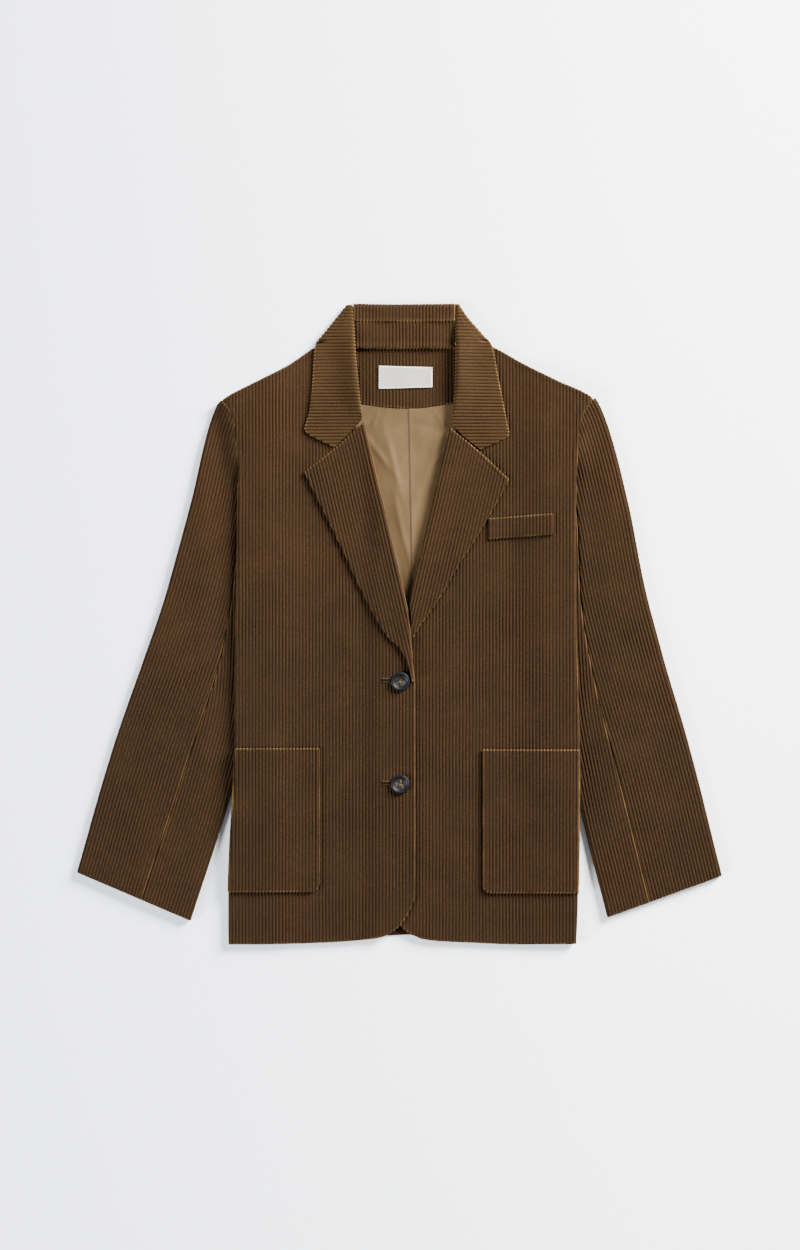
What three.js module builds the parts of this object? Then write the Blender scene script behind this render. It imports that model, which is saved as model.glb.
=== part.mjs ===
// A single-breasted corduroy jacket, laid flat on its back with two buttons done up.
// Millimetres. +X points to the wearer's left, +Y to the collar, +Z up from the surface that it lies on.
// The origin is on that surface, under the middle of the whole outline.
import * as THREE from 'three';
import { mergeVertices } from 'three/addons/utils/BufferGeometryUtils.js';

// Cloth
const CLOTH = 2.0;            // a wall of corduroy between its plain inside and its grooves
const WALE_PITCH = 4.0;       // wide-wale corduroy, about six wales to the inch
const WALE_HEIGHT = 0.8;      // each wale stands this far above its grooves
const LINING_CLOTH = 1.0;
const LABEL_CLOTH = 0.8;
const SEAM = 0.3;             // what parts two pieces that are sewn or lie on each other
const ON_TOP = WALE_HEIGHT + SEAM + CLOTH;   // from a panel's grooves to those of a piece that lies on it

// Heights of the layers, from the surface up
const SLEEVE_TUCKED = 5.2;    // a sleeve where the body presses on it
const SLEEVE_FREE = 7.6;      // a sleeve where it lies in the open
const TUCK_LIFT = SLEEVE_TUCKED + WALE_HEIGHT + SEAM;   // the body over a sleeve
const FRONT_FACE = 6.0;       // grooves of a front above the underside of the back
const OVERLAP_LIFT = 3.3;     // the right front where it laps over the left one
const BODY_FOLD = FRONT_FACE / 2;             // radius of the fold down each side
const SIDE_WRAP = 52;         // how far a front goes on under the side fold to its side seam

// Buttons
const BUTTON_DIAMETER = 23;
const BUTTON_HEIGHT = 3.6;
const BUTTON_HOLE = 2.2;
const BUTTON_HOLE_SPACING = 4.2;

const COLOURS = {
  body: 0x4d3523,
  sleeve: 0x4a3321,
  collar: 0x594029,
  lining: 0x93775a,
  label: 0xd2d1c9,
  button: 0x2b2f36,
};

// The folds down the sides of the body and the armholes above them
const ARMPIT_Y = 172;
const SEAM_TOP_Y = 128;
const rightSide = [
  { y: -384, x: -204 }, { y: -320, x: -204 }, { y: -268, x: -202 }, { y: -145, x: -196 },
  { y: -43, x: -196 }, { y: 92, x: -194 }, { y: 172, x: -193 }, { y: 229, x: -197 },
  { y: 258, x: -205 }, { y: 268, x: -213 },
];
const leftSide = [
  { y: -384, x: 212 }, { y: -324, x: 214 }, { y: -152, x: 216 }, { y: -19, x: 212 },
  { y: 64, x: 211 }, { y: 124, x: 211 }, { y: 188, x: 214 }, { y: 229, x: 217 },
  { y: 250, x: 222 }, { y: 270, x: 234 },
];

// Upper edge of each front: the shoulder, the neck under the collar, the roll line and the front edge
const rightFrontTop = [
  { x: -216, y: 264 }, { x: -208, y: 271 }, { x: -174, y: 289 }, { x: -133, y: 310 },
  { x: -101, y: 331 }, { x: -68, y: 343 }, { x: -64.5, y: 323 }, { x: -60.5, y: 284 },
  { x: -53, y: 240 }, { x: -40, y: 208 }, { x: -21, y: 133 }, { x: -1, y: 49 },
  { x: 4.5, y: 14 }, { x: 9, y: -22 }, { x: 15, y: -50 }, { x: 20, y: -74 },
];
const leftFrontTop = [
  { x: -16, y: -78 }, { x: -6, y: -42 }, { x: 4, y: -14 }, { x: 16.5, y: 17 }, { x: 24.5, y: 62 },
  { x: 41, y: 127 }, { x: 61, y: 214 }, { x: 74, y: 245 }, { x: 78, y: 284 }, { x: 80, y: 323 },
  { x: 83, y: 343 }, { x: 115, y: 331 }, { x: 147, y: 313 }, { x: 189, y: 292 },
  { x: 232, y: 271 }, { x: 237, y: 263 },
];
// Lower edge of each front: the hem and the rounded corner of the front edge
const rightFrontHem = [
  { x: -262, y: -384 }, { x: -170, y: -384 }, { x: -90, y: -382 }, { x: -47, y: -379 },
  { x: -22, y: -375.5 }, { x: -4, y: -366 }, { x: 6, y: -355 }, { x: 13, y: -342 },
  { x: 18, y: -330 }, { x: 20, y: -318 },
];
const leftFrontHem = [
  { x: -16, y: -322 }, { x: -13, y: -338 }, { x: -7, y: -352 }, { x: 2, y: -362 },
  { x: 14, y: -371.5 }, { x: 30, y: -378 }, { x: 45, y: -380 }, { x: 87, y: -382 },
  { x: 142, y: -384 }, { x: 272, y: -383 },
];

// The back: its hem, shoulders and neck
const backHem = [
  { x: -160, y: -381 }, { x: -60, y: -378 }, { x: -15, y: -374 }, { x: 11, y: -373 },
  { x: 40, y: -375 }, { x: 90, y: -379 }, { x: 170, y: -381 },
];
const backTop = [
  { x: -216, y: 263 }, { x: -208, y: 270 }, { x: -174, y: 288 }, { x: -133, y: 309 },
  { x: -101, y: 329 }, { x: -82, y: 333 }, { x: -52, y: 330 }, { x: -25, y: 329 },
  { x: 11, y: 329 }, { x: 45, y: 329 }, { x: 68, y: 331 }, { x: 92, y: 334 },
  { x: 115, y: 330 }, { x: 147, y: 312 }, { x: 189, y: 291 }, { x: 232, y: 270 }, { x: 237, y: 262 },
];

// Each sleeve from its cuff up: the fold on its outside, the fold on its inside and the front seam between
const rightSleeve = [
  { at: 0, outerX: -386, outerY: -298, innerX: -250, innerY: -356, seam: 84 },
  { at: 158, outerX: -342, outerY: -146, innerX: -198, innerY: -190, seam: 90 },
  { at: 267, outerX: -306, outerY: -43, innerX: -174, innerY: -86, seam: 88 },
  { at: 352, outerX: -279, outerY: 37, innerX: -170, innerY: 8, seam: 79 },
  { at: 462, outerX: -250, outerY: 143, innerX: -170, innerY: 120, seam: 60 },
  { at: 585, outerX: -218, outerY: 262, innerX: -158, innerY: 245, seam: 44 },
];
const leftSleeve = [
  { at: 0, outerX: 387, outerY: -302, innerX: 250, innerY: -352, seam: 92 },
  { at: 156, outerX: 349, outerY: -151, innerX: 212, innerY: -194, seam: 91 },
  { at: 281, outerX: 314, outerY: -31, innerX: 192, innerY: -74, seam: 86 },
  { at: 366, outerX: 293, outerY: 51, innerX: 188, innerY: 20, seam: 78 },
  { at: 460, outerX: 275, outerY: 143, innerX: 190, innerY: 117, seam: 64 },
  { at: 590, outerX: 237, outerY: 268, innerX: 172, innerY: 248, seam: 48 },
];
const SLEEVE_END_AT = 440;
const BACK_SEAM = 25;         // the sleeve's back seam lies this far in from the outer fold, underneath

// Across the body, where it comes down off the tucked sleeves; along it, where the sleeves leave it
const OFF_SLEEVE = {
  rightFrom: -164, rightTo: -110, leftFrom: 184, leftTo: 130, bottomY: -384, fullY: -196,
};
const HEM_LIFT = 0.2;         // share of the lift that is left at the hem
const LAP_RAMP = { from: -46, to: -20 };   // across the right front, where it rises on to the left one

// Lapels, measured along the roll line from the gorge (s) and square to it, outwards (a)
const rightRoll = { startX: -43, startY: 244, endX: 11, endY: 14, out: -1 };
const leftRoll = { startX: 62, startY: 238, endX: 10, endY: 17, out: 1 };
const rightLapelTop = [{ a: 0, s: 2.5 }, { a: 41.9, s: 25.5 }, { a: 82.5, s: 44 }];
const rightLapelEdge = [
  { a: -12, s: 290 }, { a: 9.5, s: 290 }, { a: 31, s: 257.8 }, { a: 46, s: 208.7 },
  { a: 63.2, s: 128 }, { a: 82.5, s: 45.5 },
];
const rightApex = [{ s: 0, a: 0 }, { s: 225, a: 0 }, { s: 262, a: 3.4 }, { s: 300, a: 9.6 }];
const leftLapelTop = [{ a: 0, s: 3 }, { a: 40.7, s: 23 }, { a: 82.5, s: 47 }];
const leftLapelEdge = [
  { a: -12, s: 214 }, { a: 0, s: 219 }, { a: 5, s: 232 }, { a: 13, s: 258 }, { a: 20, s: 240 },
  { a: 35, s: 201.3 }, { a: 46.5, s: 162.7 }, { a: 58.3, s: 130 }, { a: 69.5, s: 94.6 },
  { a: 82.5, s: 48.5 },
];
const leftApex = [{ s: 0, a: 0 }, { s: 300, a: 0 }];
const LAPEL_ROLL = 3.4;
const LAPEL_RISE = 1.9;
const EASE = 0.5;             // more room for a lapel over a panel that rises under it
const POCKET_EASE = 0.75;     // the same for a pocket, which bends with the panel

// The collar's leaves, a row for each height: outer edge, roll edge, how high the roll stands, its radius
// and the radius of the turn behind the shoulder
const rightLeaf = [
  { y: 212.5, outer: -79, inner: -77, stands: 9.1, roll: 0, turn: 0 },
  { y: 234, outer: -113, inner: -54.5, stands: 9.4, roll: 0, turn: 0 },
  { y: 247, outer: -109.5, inner: -44.5, stands: 11, roll: 0, turn: 0 },
  { y: 264, outer: -106, inner: -46.5, stands: 13.5, roll: 3.2, turn: 0 },
  { y: 284, outer: -104, inner: -48, stands: 17, roll: 5.6, turn: 0 },
  { y: 323, outer: -101.5, inner: -52, stands: 17, roll: 5.2, turn: 0 },
  { y: 336, outer: -100, inner: -53, stands: 16, roll: 4.6, turn: 0 },
  { y: 343, outer: -94, inner: -53.5, stands: 15, roll: 4.2, turn: 4.4 },
  { y: 354, outer: -85, inner: -54, stands: 12.5, roll: 3.6, turn: 4.4 },
  { y: 370, outer: -72, inner: -55, stands: 9.5, roll: 3.2, turn: 4 },
  { y: 383, outer: -62, inner: -56, stands: 8, roll: 3, turn: 4 },
];
const leftLeaf = [
  { y: 209.5, outer: 99, inner: 97, stands: 9.1, roll: 0, turn: 0 },
  { y: 228, outer: 132, inner: 74, stands: 9.4, roll: 0, turn: 0 },
  { y: 243, outer: 129, inner: 63.5, stands: 11, roll: 0, turn: 0 },
  { y: 264, outer: 125, inner: 65.5, stands: 13.5, roll: 3.2, turn: 0 },
  { y: 300, outer: 118, inner: 67.5, stands: 17, roll: 5.6, turn: 0 },
  { y: 323, outer: 114, inner: 68, stands: 17, roll: 5.2, turn: 0 },
  { y: 337, outer: 110, inner: 68, stands: 16, roll: 4.6, turn: 0 },
  { y: 344, outer: 103, inner: 68, stands: 15, roll: 4.2, turn: 4.4 },
  { y: 352, outer: 96, inner: 68, stands: 12.5, roll: 3.6, turn: 4.4 },
  { y: 368, outer: 82, inner: 68.5, stands: 9.5, roll: 3.2, turn: 4 },
  { y: 384, outer: 71, inner: 69, stands: 8, roll: 3, turn: 4 },
];
const COLLAR_TOP_Y = 384;
const COLLAR_BAND_Y = 363;    // the seam between collar and stand, inside the back of the neck
const NECK_SEAM_Y = 330;
const COLLAR_TURN = 4;
const FALL_EDGE_Y = 337;      // the collar's outer edge, turned down behind the neck
const WRAP_END = 2;           // what a roll goes on underneath past its half circle

const facingEdge = [
  { x: -58, y: 265 }, { x: -47, y: 264 }, { x: 11, y: 259 }, { x: 67, y: 265 }, { x: 78, y: 266 },
];
const FACING_LIFT = 4.1;      // grooves of the back neck facing above the underside of the back
const LINING_LIFT = 3.3;
const PLEAT = { x: 12, lean: 0.02, width: 5, height: 0.5 };

const rightPocket = { innerX: -95, topY: -149, bottomY: -321, corner: 11 };
const leftPocket = { innerX: 100, topY: -150.5, bottomY: -322.5, corner: 11 };
const WELT = { leftX: 107, rightX: 185, topY: 126.5, height: 25, slope: 0.075 };
const LABEL = { leftX: -24, rightX: 40, topY: 309.5, bottomY: 282, slope: 0.028 };
const BUTTONS = [{ name: 'upper_button', x: 1.8, y: -69 }, { name: 'lower_button', x: 1.4, y: -192 }];
const BUTTON_TURN = 0.2;

const clamp = (value, low, high) => Math.min(Math.max(value, low), high);
const mix = (from, to, part) => from + (to - from) * part;
const ease = (value) => {
  const part = clamp(value, 0, 1);
  return part * part * (3 - 2 * part);
};

// A smooth curve through a table, without overshoot: the column `key` against the column `at`
function curve(rows, at, key) {
  const xs = rows.map((row) => row[at]);
  const ys = rows.map((row) => row[key]);
  const last = xs.length - 1;
  const rise = xs.slice(1).map((x, i) => (ys[i + 1] - ys[i]) / (x - xs[i]));
  const slopes = xs.map((x, i) => {
    if (i === 0) return rise[0];
    if (i === last) return rise[last - 1];
    if (rise[i - 1] * rise[i] <= 0) return 0;
    return (2 * rise[i - 1] * rise[i]) / (rise[i - 1] + rise[i]);
  });
  return (value) => {
    const x = clamp(value, xs[0], xs[last]);
    const i = clamp(xs.findIndex((knot) => knot > x) - 1, 0, last - 1);
    const seg = x >= xs[last] ? last - 1 : i;
    const width = xs[seg + 1] - xs[seg];
    const t = (x - xs[seg]) / width;
    const near = (1 + 2 * t) * (1 - t) * (1 - t) * ys[seg] + t * (1 - t) * (1 - t) * width * slopes[seg];
    const far = t * t * (3 - 2 * t) * ys[seg + 1] + t * t * (t - 1) * width * slopes[seg + 1];
    return near + far;
  };
}

// Where cloth lies that goes round a fold. `run` is its distance inwards from the fold's edge, less than 0
// underneath. Gives the distance from the edge and how far down it is, 0 on top and 1 underneath.
const QUARTER = Math.PI / 2;
const FOLD_SLACK = QUARTER - 1;   // cloth that a fold takes up, in radii
function fold(run, radius) {
  if (radius < 0.05) return { inset: run, down: 0 };
  const turn = run / radius;
  if (turn >= QUARTER) return { inset: run - FOLD_SLACK * radius, down: 0 };
  if (turn <= -QUARTER) return { inset: -run - FOLD_SLACK * radius, down: 1 };
  return { inset: radius * (1 - Math.cos(turn)), down: (1 - Math.sin(turn)) / 2 };
}

const rightSideX = curve(rightSide, 'y', 'x');
const leftSideX = curve(leftSide, 'y', 'x');

const linear = (value, from, to) => clamp((value - from) / (to - from), 0, 1);

// Height of the back's underside: it is up over a tucked sleeve on each side
function lift(x, y) {
  const { rightFrom, rightTo, leftFrom, leftTo, bottomY, fullY } = OFF_SLEEVE;
  const across = Math.max(linear(x, rightTo, rightFrom), linear(x, leftTo, leftFrom));
  return TUCK_LIFT * across * mix(HEM_LIFT, 1, linear(y, bottomY, fullY));
}

// Height of a front's grooves; `lap` is how far the right front is up on the left one
const frontTop = (x, y, lap) => lift(x, y) + FRONT_FACE + lap;
const rightLap = (x) => OVERLAP_LIFT * linear(x, LAP_RAMP.from, LAP_RAMP.to);
const noLap = () => 0;

// A piece of cloth as a closed solid. Its outer face is face(u, v), over columns of u and rows between
// bottom(u) and top(u), cut off at left(v) and right(v); its wales run along the columns.
function wall({
  name, colour, columns, rows, bottom, top, left, right, face, side = 1, cloth = CLOTH, wale = WALE_HEIGHT,
}) {
  const { outer, inner } = columns;
  const low = outer[0];
  const high = outer[outer.length - 1];
  const meet = (t, edge) => {
    let near = low;
    let far = high;
    for (let step = 0; step < 40; step += 1) {
      const middle = (near + far) / 2;
      if (middle < edge(mix(bottom(middle), top(middle), t))) near = middle;
      else far = middle;
    }
    return (near + far) / 2;
  };
  const normal = (u, v) => {
    const step = 0.05;
    const du = face(u + step, v).sub(face(u - step, v));
    const dv = face(u, v + step).sub(face(u, v - step));
    return du.cross(dv).normalize().multiplyScalar(side);
  };
  const waleAt = (u) => {
    const part = u / WALE_PITCH - Math.floor(u / WALE_PITCH);
    return columns.ribbed(u) ? wale * (1 - Math.abs(2 * part - 1)) : 0;
  };
  const positions = [];
  const point = (u, v, out) => {
    const outwards = normal(u, v);
    const restsFlat = out > 0 && outwards.z < -0.3;
    const p = face(u, v).addScaledVector(outwards, restsFlat ? 0 : out);
    positions.push(p.x, p.y, p.z);
    return positions.length / 3 - 1;
  };
  const grids = { outer: [], inner: [] };
  for (const t of rows) {
    const start = left ? meet(t, left) : low;
    const end = right ? meet(t, right) : high;
    const cut = (u) => clamp(u, start, end);
    const at = (u) => mix(bottom(u), top(u), t);
    grids.outer.push(outer.map((u) => point(cut(u), at(cut(u)), waleAt(cut(u)))));
    grids.inner.push(inner.map((u) => point(cut(u), at(cut(u)), -cloth)));
  }
  const index = [];
  const quad = (a, b, c, d) => index.push(a, b, c, a, c, d);
  const lastRow = rows.length - 1;
  const far = outer.length - 1;
  const farInner = inner.length - 1;
  for (let j = 0; j < lastRow; j += 1) {
    const [outers, outersAbove] = [grids.outer[j], grids.outer[j + 1]];
    const [inners, innersAbove] = [grids.inner[j], grids.inner[j + 1]];
    for (let i = 0; i < outer.length - 1; i += 1) {
      quad(outers[i], outers[i + 1], outersAbove[i + 1], outersAbove[i]);
    }
    for (let i = 0; i < inner.length - 1; i += 1) {
      quad(inners[i + 1], inners[i], innersAbove[i], innersAbove[i + 1]);
    }
    quad(inners[0], outers[0], outersAbove[0], innersAbove[0]);
    quad(outers[far], inners[farInner], innersAbove[farInner], outersAbove[far]);
  }
  const cap = (j, turned) => {
    const triangle = (a, b, c) => (turned ? index.push(a, c, b) : index.push(a, b, c));
    let i = 0;
    for (let k = 0; k < inner.length - 1; k += 1) {
      for (; i < outer.length - 1 && outer[i] < inner[k + 1]; i += 1) {
        triangle(grids.inner[j][k], grids.outer[j][i + 1], grids.outer[j][i]);
      }
      triangle(grids.inner[j][k], grids.inner[j][k + 1], grids.outer[j][i]);
    }
  };
  cap(0, false);
  cap(lastRow, true);
  return cloak(name, colour, positions, index);
}

// A closed geometry from shared points, with the triangles dropped that a cut edge has closed up
function closed(positions, index) {
  const loose = new THREE.BufferGeometry();
  loose.setAttribute('position', new THREE.Float32BufferAttribute(positions, 3));
  loose.setIndex(index);
  const merged = mergeVertices(loose, 1e-3);
  const kept = [];
  const ids = merged.index.array;
  for (let i = 0; i < ids.length; i += 3) {
    const [a, b, c] = [ids[i], ids[i + 1], ids[i + 2]];
    if (a !== b && b !== c && c !== a) kept.push(a, b, c);
  }
  merged.setIndex(kept);
  const volume = signedVolume(merged);
  if (volume < 0) {
    for (let i = 0; i < kept.length; i += 3) [kept[i + 1], kept[i + 2]] = [kept[i + 2], kept[i + 1]];
    merged.setIndex(kept);
  }
  return merged;
}

function signedVolume(geometry) {
  const at = geometry.attributes.position;
  const ids = geometry.index.array;
  const [a, b, c] = [new THREE.Vector3(), new THREE.Vector3(), new THREE.Vector3()];
  let sum = 0;
  for (let i = 0; i < ids.length; i += 3) {
    a.fromBufferAttribute(at, ids[i]);
    b.fromBufferAttribute(at, ids[i + 1]);
    c.fromBufferAttribute(at, ids[i + 2]);
    sum += a.dot(b.cross(c)) / 6;
  }
  return sum;
}

function meshOf(name, colour, geometry, finish = { roughness: 0.95, metalness: 0 }) {
  geometry.computeVertexNormals();
  const mesh = new THREE.Mesh(geometry, new THREE.MeshStandardMaterial({ color: colour, ...finish }));
  mesh.name = name;
  return mesh;
}

function cloak(name, colour, positions, index) {
  return meshOf(name, colour, closed(positions, index));
}

// Columns of a wall: plain ones `step` apart for the inside, with closer ones round each fold, and two to
// each wale between the ends of `wales` for the outside
function columnsOf({ from, to, step = 24, near = 4, folds = [], wales = null }) {
  const plain = new Set([from, to]);
  for (let u = Math.ceil(from / step) * step; u < to; u += step) plain.add(u);
  for (const [start, end] of folds) {
    for (const u of [start, end]) if (u > from && u < to) plain.add(u);
    for (let u = Math.ceil(start / near) * near; u < end; u += near) if (u > from && u < to) plain.add(u);
  }
  const fine = new Set(plain);
  const half = WALE_PITCH / 2;
  if (wales) {
    for (let u = Math.ceil(wales[0] / WALE_PITCH) * WALE_PITCH; u <= wales[1]; u += half) {
      if (u > from && u < to) fine.add(u);
    }
  }
  const sorted = (set) => [...set].sort((a, b) => a - b);
  const ribbed = (u) => Boolean(wales) && u >= wales[0] && u <= wales[1];
  return { outer: sorted(fine), inner: sorted(plain), ribbed };
}

// How far down the side a front has turned under, 0 at the armhole and 1 from the top of its side seam
const turnedUnder = (y) => ease((ARMPIT_Y - y) / (ARMPIT_Y - SEAM_TOP_Y));
const sideRun = (y) => mix(FOLD_SLACK * BODY_FOLD, -(SIDE_WRAP + FOLD_SLACK * BODY_FOLD), turnedUnder(y));

// The outer face of a front, folded round its side. `outward` is -1 on the wearer's right and 1 on the left.
function frontFace(outward, sideX, lap) {
  return (u, v) => {
    const edge = sideX(v);
    const run = outward * (edge - u) + FOLD_SLACK * BODY_FOLD;
    const { inset, down } = fold(run, BODY_FOLD);
    const x = edge - outward * inset;
    const top = frontTop(x, v, lap(x));
    return new THREE.Vector3(x, v, top - FRONT_FACE * down);
  };
}
const rightFrontFace = frontFace(-1, rightSideX, rightLap);
const leftFrontFace = frontFace(1, leftSideX, noLap);

// Rows from the hem up, closer together where the fold down the side opens into the armhole
const FRONT_ROWS = [0, 0.285, 0.76, 0.79, 0.825, 0.858, 0.93, 1];
const BACK_ROWS = [0, 0.06, 0.285, 0.5, 0.62, 0.67, 0.7, 0.73, 0.76, 0.79, 0.825, 0.858, 0.93, 1];

function rightFront() {
  const edge = (v) => rightSideX(v) + sideRun(v) - FOLD_SLACK * BODY_FOLD;
  return wall({
    name: 'right_front',
    colour: COLOURS.body,
    columns: columnsOf({
      from: -264,
      to: 20,
      folds: [[-216, -188], [-164, -164], [-110, -110], [-68, -56], [-46, -46], [-20, -20], [-2, 20]],
      wales: [-212, 20],
    }),
    rows: FRONT_ROWS,
    bottom: curve(rightFrontHem, 'x', 'y'),
    top: curve(rightFrontTop, 'x', 'y'),
    left: edge,
    face: rightFrontFace,
  });
}

function leftFront() {
  const edge = (v) => leftSideX(v) - sideRun(v) + FOLD_SLACK * BODY_FOLD;
  return wall({
    name: 'left_front',
    colour: COLOURS.body,
    columns: columnsOf({
      from: -16,
      to: 274,
      folds: [[-16, 8], [70, 84], [130, 130], [184, 184], [206, 238]],
      wales: [-16, 230],
    }),
    rows: FRONT_ROWS,
    bottom: curve(leftFrontHem, 'x', 'y'),
    top: curve(leftFrontTop, 'x', 'y'),
    right: edge,
    face: leftFrontFace,
  });
}

const BACK_CLEAR = 16;        // the back's armhole turns in this far above the front's
const SIDE_SEAM_ROOM = 1.6;   // between the two straight-sided edges of each side seam

function back() {
  const underneath = (y) => SIDE_WRAP * turnedUnder(y - BACK_CLEAR) + SIDE_SEAM_ROOM;
  return wall({
    name: 'back',
    colour: COLOURS.body,
    columns: columnsOf({
      from: -216,
      to: 237,
      folds: [
        [-164, -164], [-110, -110], [-84, -84], [-52, -52], [68, 68], [92, 92], [130, 130], [184, 184],
      ],
    }),
    rows: BACK_ROWS,
    bottom: curve(backHem, 'x', 'y'),
    top: curve(backTop, 'x', 'y'),
    left: (y) => rightSideX(y) + underneath(y),
    right: (y) => leftSideX(y) - underneath(y),
    face: (u, v) => new THREE.Vector3(u, v, lift(u, v) + CLOTH),
    wale: 0,
  });
}

// One sleeve: where it lies, how high its top stands and where its hidden end is
function sleeveFrame(rows, outward, sideX) {
  const at = (key) => curve(rows, 'at', key);
  const [outerX, outerY] = [at('outerX'), at('outerY')];
  const [inX, inY] = [at('innerX'), at('innerY')];
  const width = (s) => Math.hypot(inX(s) - outerX(s), inY(s) - outerY(s));
  const plan = (inset, s) => {
    const part = inset / width(s);
    return { x: mix(outerX(s), inX(s), part), y: mix(outerY(s), inY(s), part) };
  };
  // Thin under the body and for a little way out, then as thick as it lies in the open
  const topAt = (x, y) => {
    const outside = outward * (x - sideX(y));
    return mix(SLEEVE_TUCKED, SLEEVE_FREE, ease((outside - 14) / 30));
  };
  // The armhole, then the line under the body where the sleeve ends
  const beyond = (x, y) => {
    const hidden = ARMPIT_Y - 2 - 0.3 * Math.max(0, outward * (sideX(y) - x));
    return y > ARMPIT_Y - 2 ? outward * (sideX(y) - x) + 0.4 : y - hidden;
  };
  const end = (inset) => {
    let near = rows[2].at;
    let far = rows[rows.length - 1].at;
    for (let step = 0; step < 40; step += 1) {
      const middle = (near + far) / 2;
      const { x, y } = plan(inset, middle);
      if (beyond(x, y) < 0) near = middle;
      else far = middle;
    }
    return near;
  };
  return { plan, width, topAt, end, seam: at('seam') };
}

const OUTER_FOLD = SLEEVE_FREE / 2;
const INNER_FOLD = SLEEVE_TUCKED / 2;
const sleeves = [
  { name: 'right', outward: -1, frame: sleeveFrame(rightSleeve, -1, rightSideX) },
  { name: 'left', outward: 1, frame: sleeveFrame(leftSleeve, 1, leftSideX) },
];
const SLEEVE_ROWS = [0, 0.25, 0.4, 0.55, 0.7, 0.85, 1];

// The face of a sleeve round one of its folds; insetAt turns a distance from it into one from the outside
function sleeveFace(frame, radius, insetAt) {
  return (u, s) => {
    const { inset, down } = fold(u, radius);
    const { x, y } = frame.plan(insetAt(inset, s), s);
    return new THREE.Vector3(x, y, frame.topAt(x, y) * (1 - down));
  };
}

function topSleeve({ name, outward, frame }) {
  const slack = FOLD_SLACK * OUTER_FOLD;
  const insetOf = (u) => Math.max(fold(u, OUTER_FOLD).inset, 0.4);
  return wall({
    name: `${name}_top_sleeve`,
    colour: COLOURS.sleeve,
    columns: columnsOf({ from: -(BACK_SEAM + slack), to: 94, folds: [[-8, 8]], wales: [-4, 94] }),
    rows: SLEEVE_ROWS,
    bottom: () => 0,
    top: (u) => frame.end(insetOf(u)),
    right: (s) => frame.seam(s) - SEAM + slack,
    face: sleeveFace(frame, OUTER_FOLD, (inset) => inset),
    side: -outward,
  });
}

function underSleeve({ name, outward, frame }) {
  const slack = FOLD_SLACK * INNER_FOLD;
  const fromOutside = (inset, s) => frame.width(s) - inset;
  const end = (u) => frame.end(frame.width(SLEEVE_END_AT) - fold(u, INNER_FOLD).inset);
  return wall({
    name: `${name}_under_sleeve`,
    colour: COLOURS.sleeve,
    columns: columnsOf({ from: -150, to: 96, folds: [[-6, 6]], wales: [-4, 96] }),
    rows: SLEEVE_ROWS,
    bottom: () => 0,
    top: end,
    left: (s) => -(frame.width(s) - BACK_SEAM - 1 + slack),
    right: (s) => frame.width(s) - frame.seam(s) - SEAM + slack,
    face: sleeveFace(frame, INNER_FOLD, fromOutside),
    side: outward,
  });
}

// A lapel turned back on its front, rolled round the roll line
function lapel(name, roll, topEdge, outerEdge, apexRows, lap) {
  const along = new THREE.Vector2(roll.endX - roll.startX, roll.endY - roll.startY).normalize();
  const out = new THREE.Vector2(-along.y, along.x).multiplyScalar(roll.out);
  const apex = curve(apexRows, 's', 'a');
  const face = (u, s) => {
    const { inset, down } = fold(u - apex(s) + FOLD_SLACK * LAPEL_ROLL, LAPEL_ROLL);
    const a = apex(s) + inset;
    const x = roll.startX + along.x * s + out.x * a;
    const y = roll.startY + along.y * s + out.y * a;
    const rise = LAPEL_RISE * Math.exp(-((inset / 14) ** 2));
    return new THREE.Vector3(x, y, frontTop(x, y, lap(x)) + ON_TOP + EASE + rise - 2 * LAPEL_ROLL * down);
  };
  const wrap = 2 * QUARTER * LAPEL_ROLL + WRAP_END - (QUARTER - FOLD_SLACK) * LAPEL_ROLL;
  return wall({
    name,
    colour: COLOURS.collar,
    columns: columnsOf({ from: -12, to: 82.5, step: 12, folds: [[-12, 14]], wales: [-6, 82.5] }),
    rows: [0, 0.15, 0.4, 0.65, 0.85, 1],
    bottom: curve(topEdge, 'a', 's'),
    top: curve(outerEdge, 'a', 's'),
    left: (s) => apex(s) - wrap + 2 * LAPEL_ROLL,
    face,
    side: roll.out * -1,
  });
}

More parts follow.
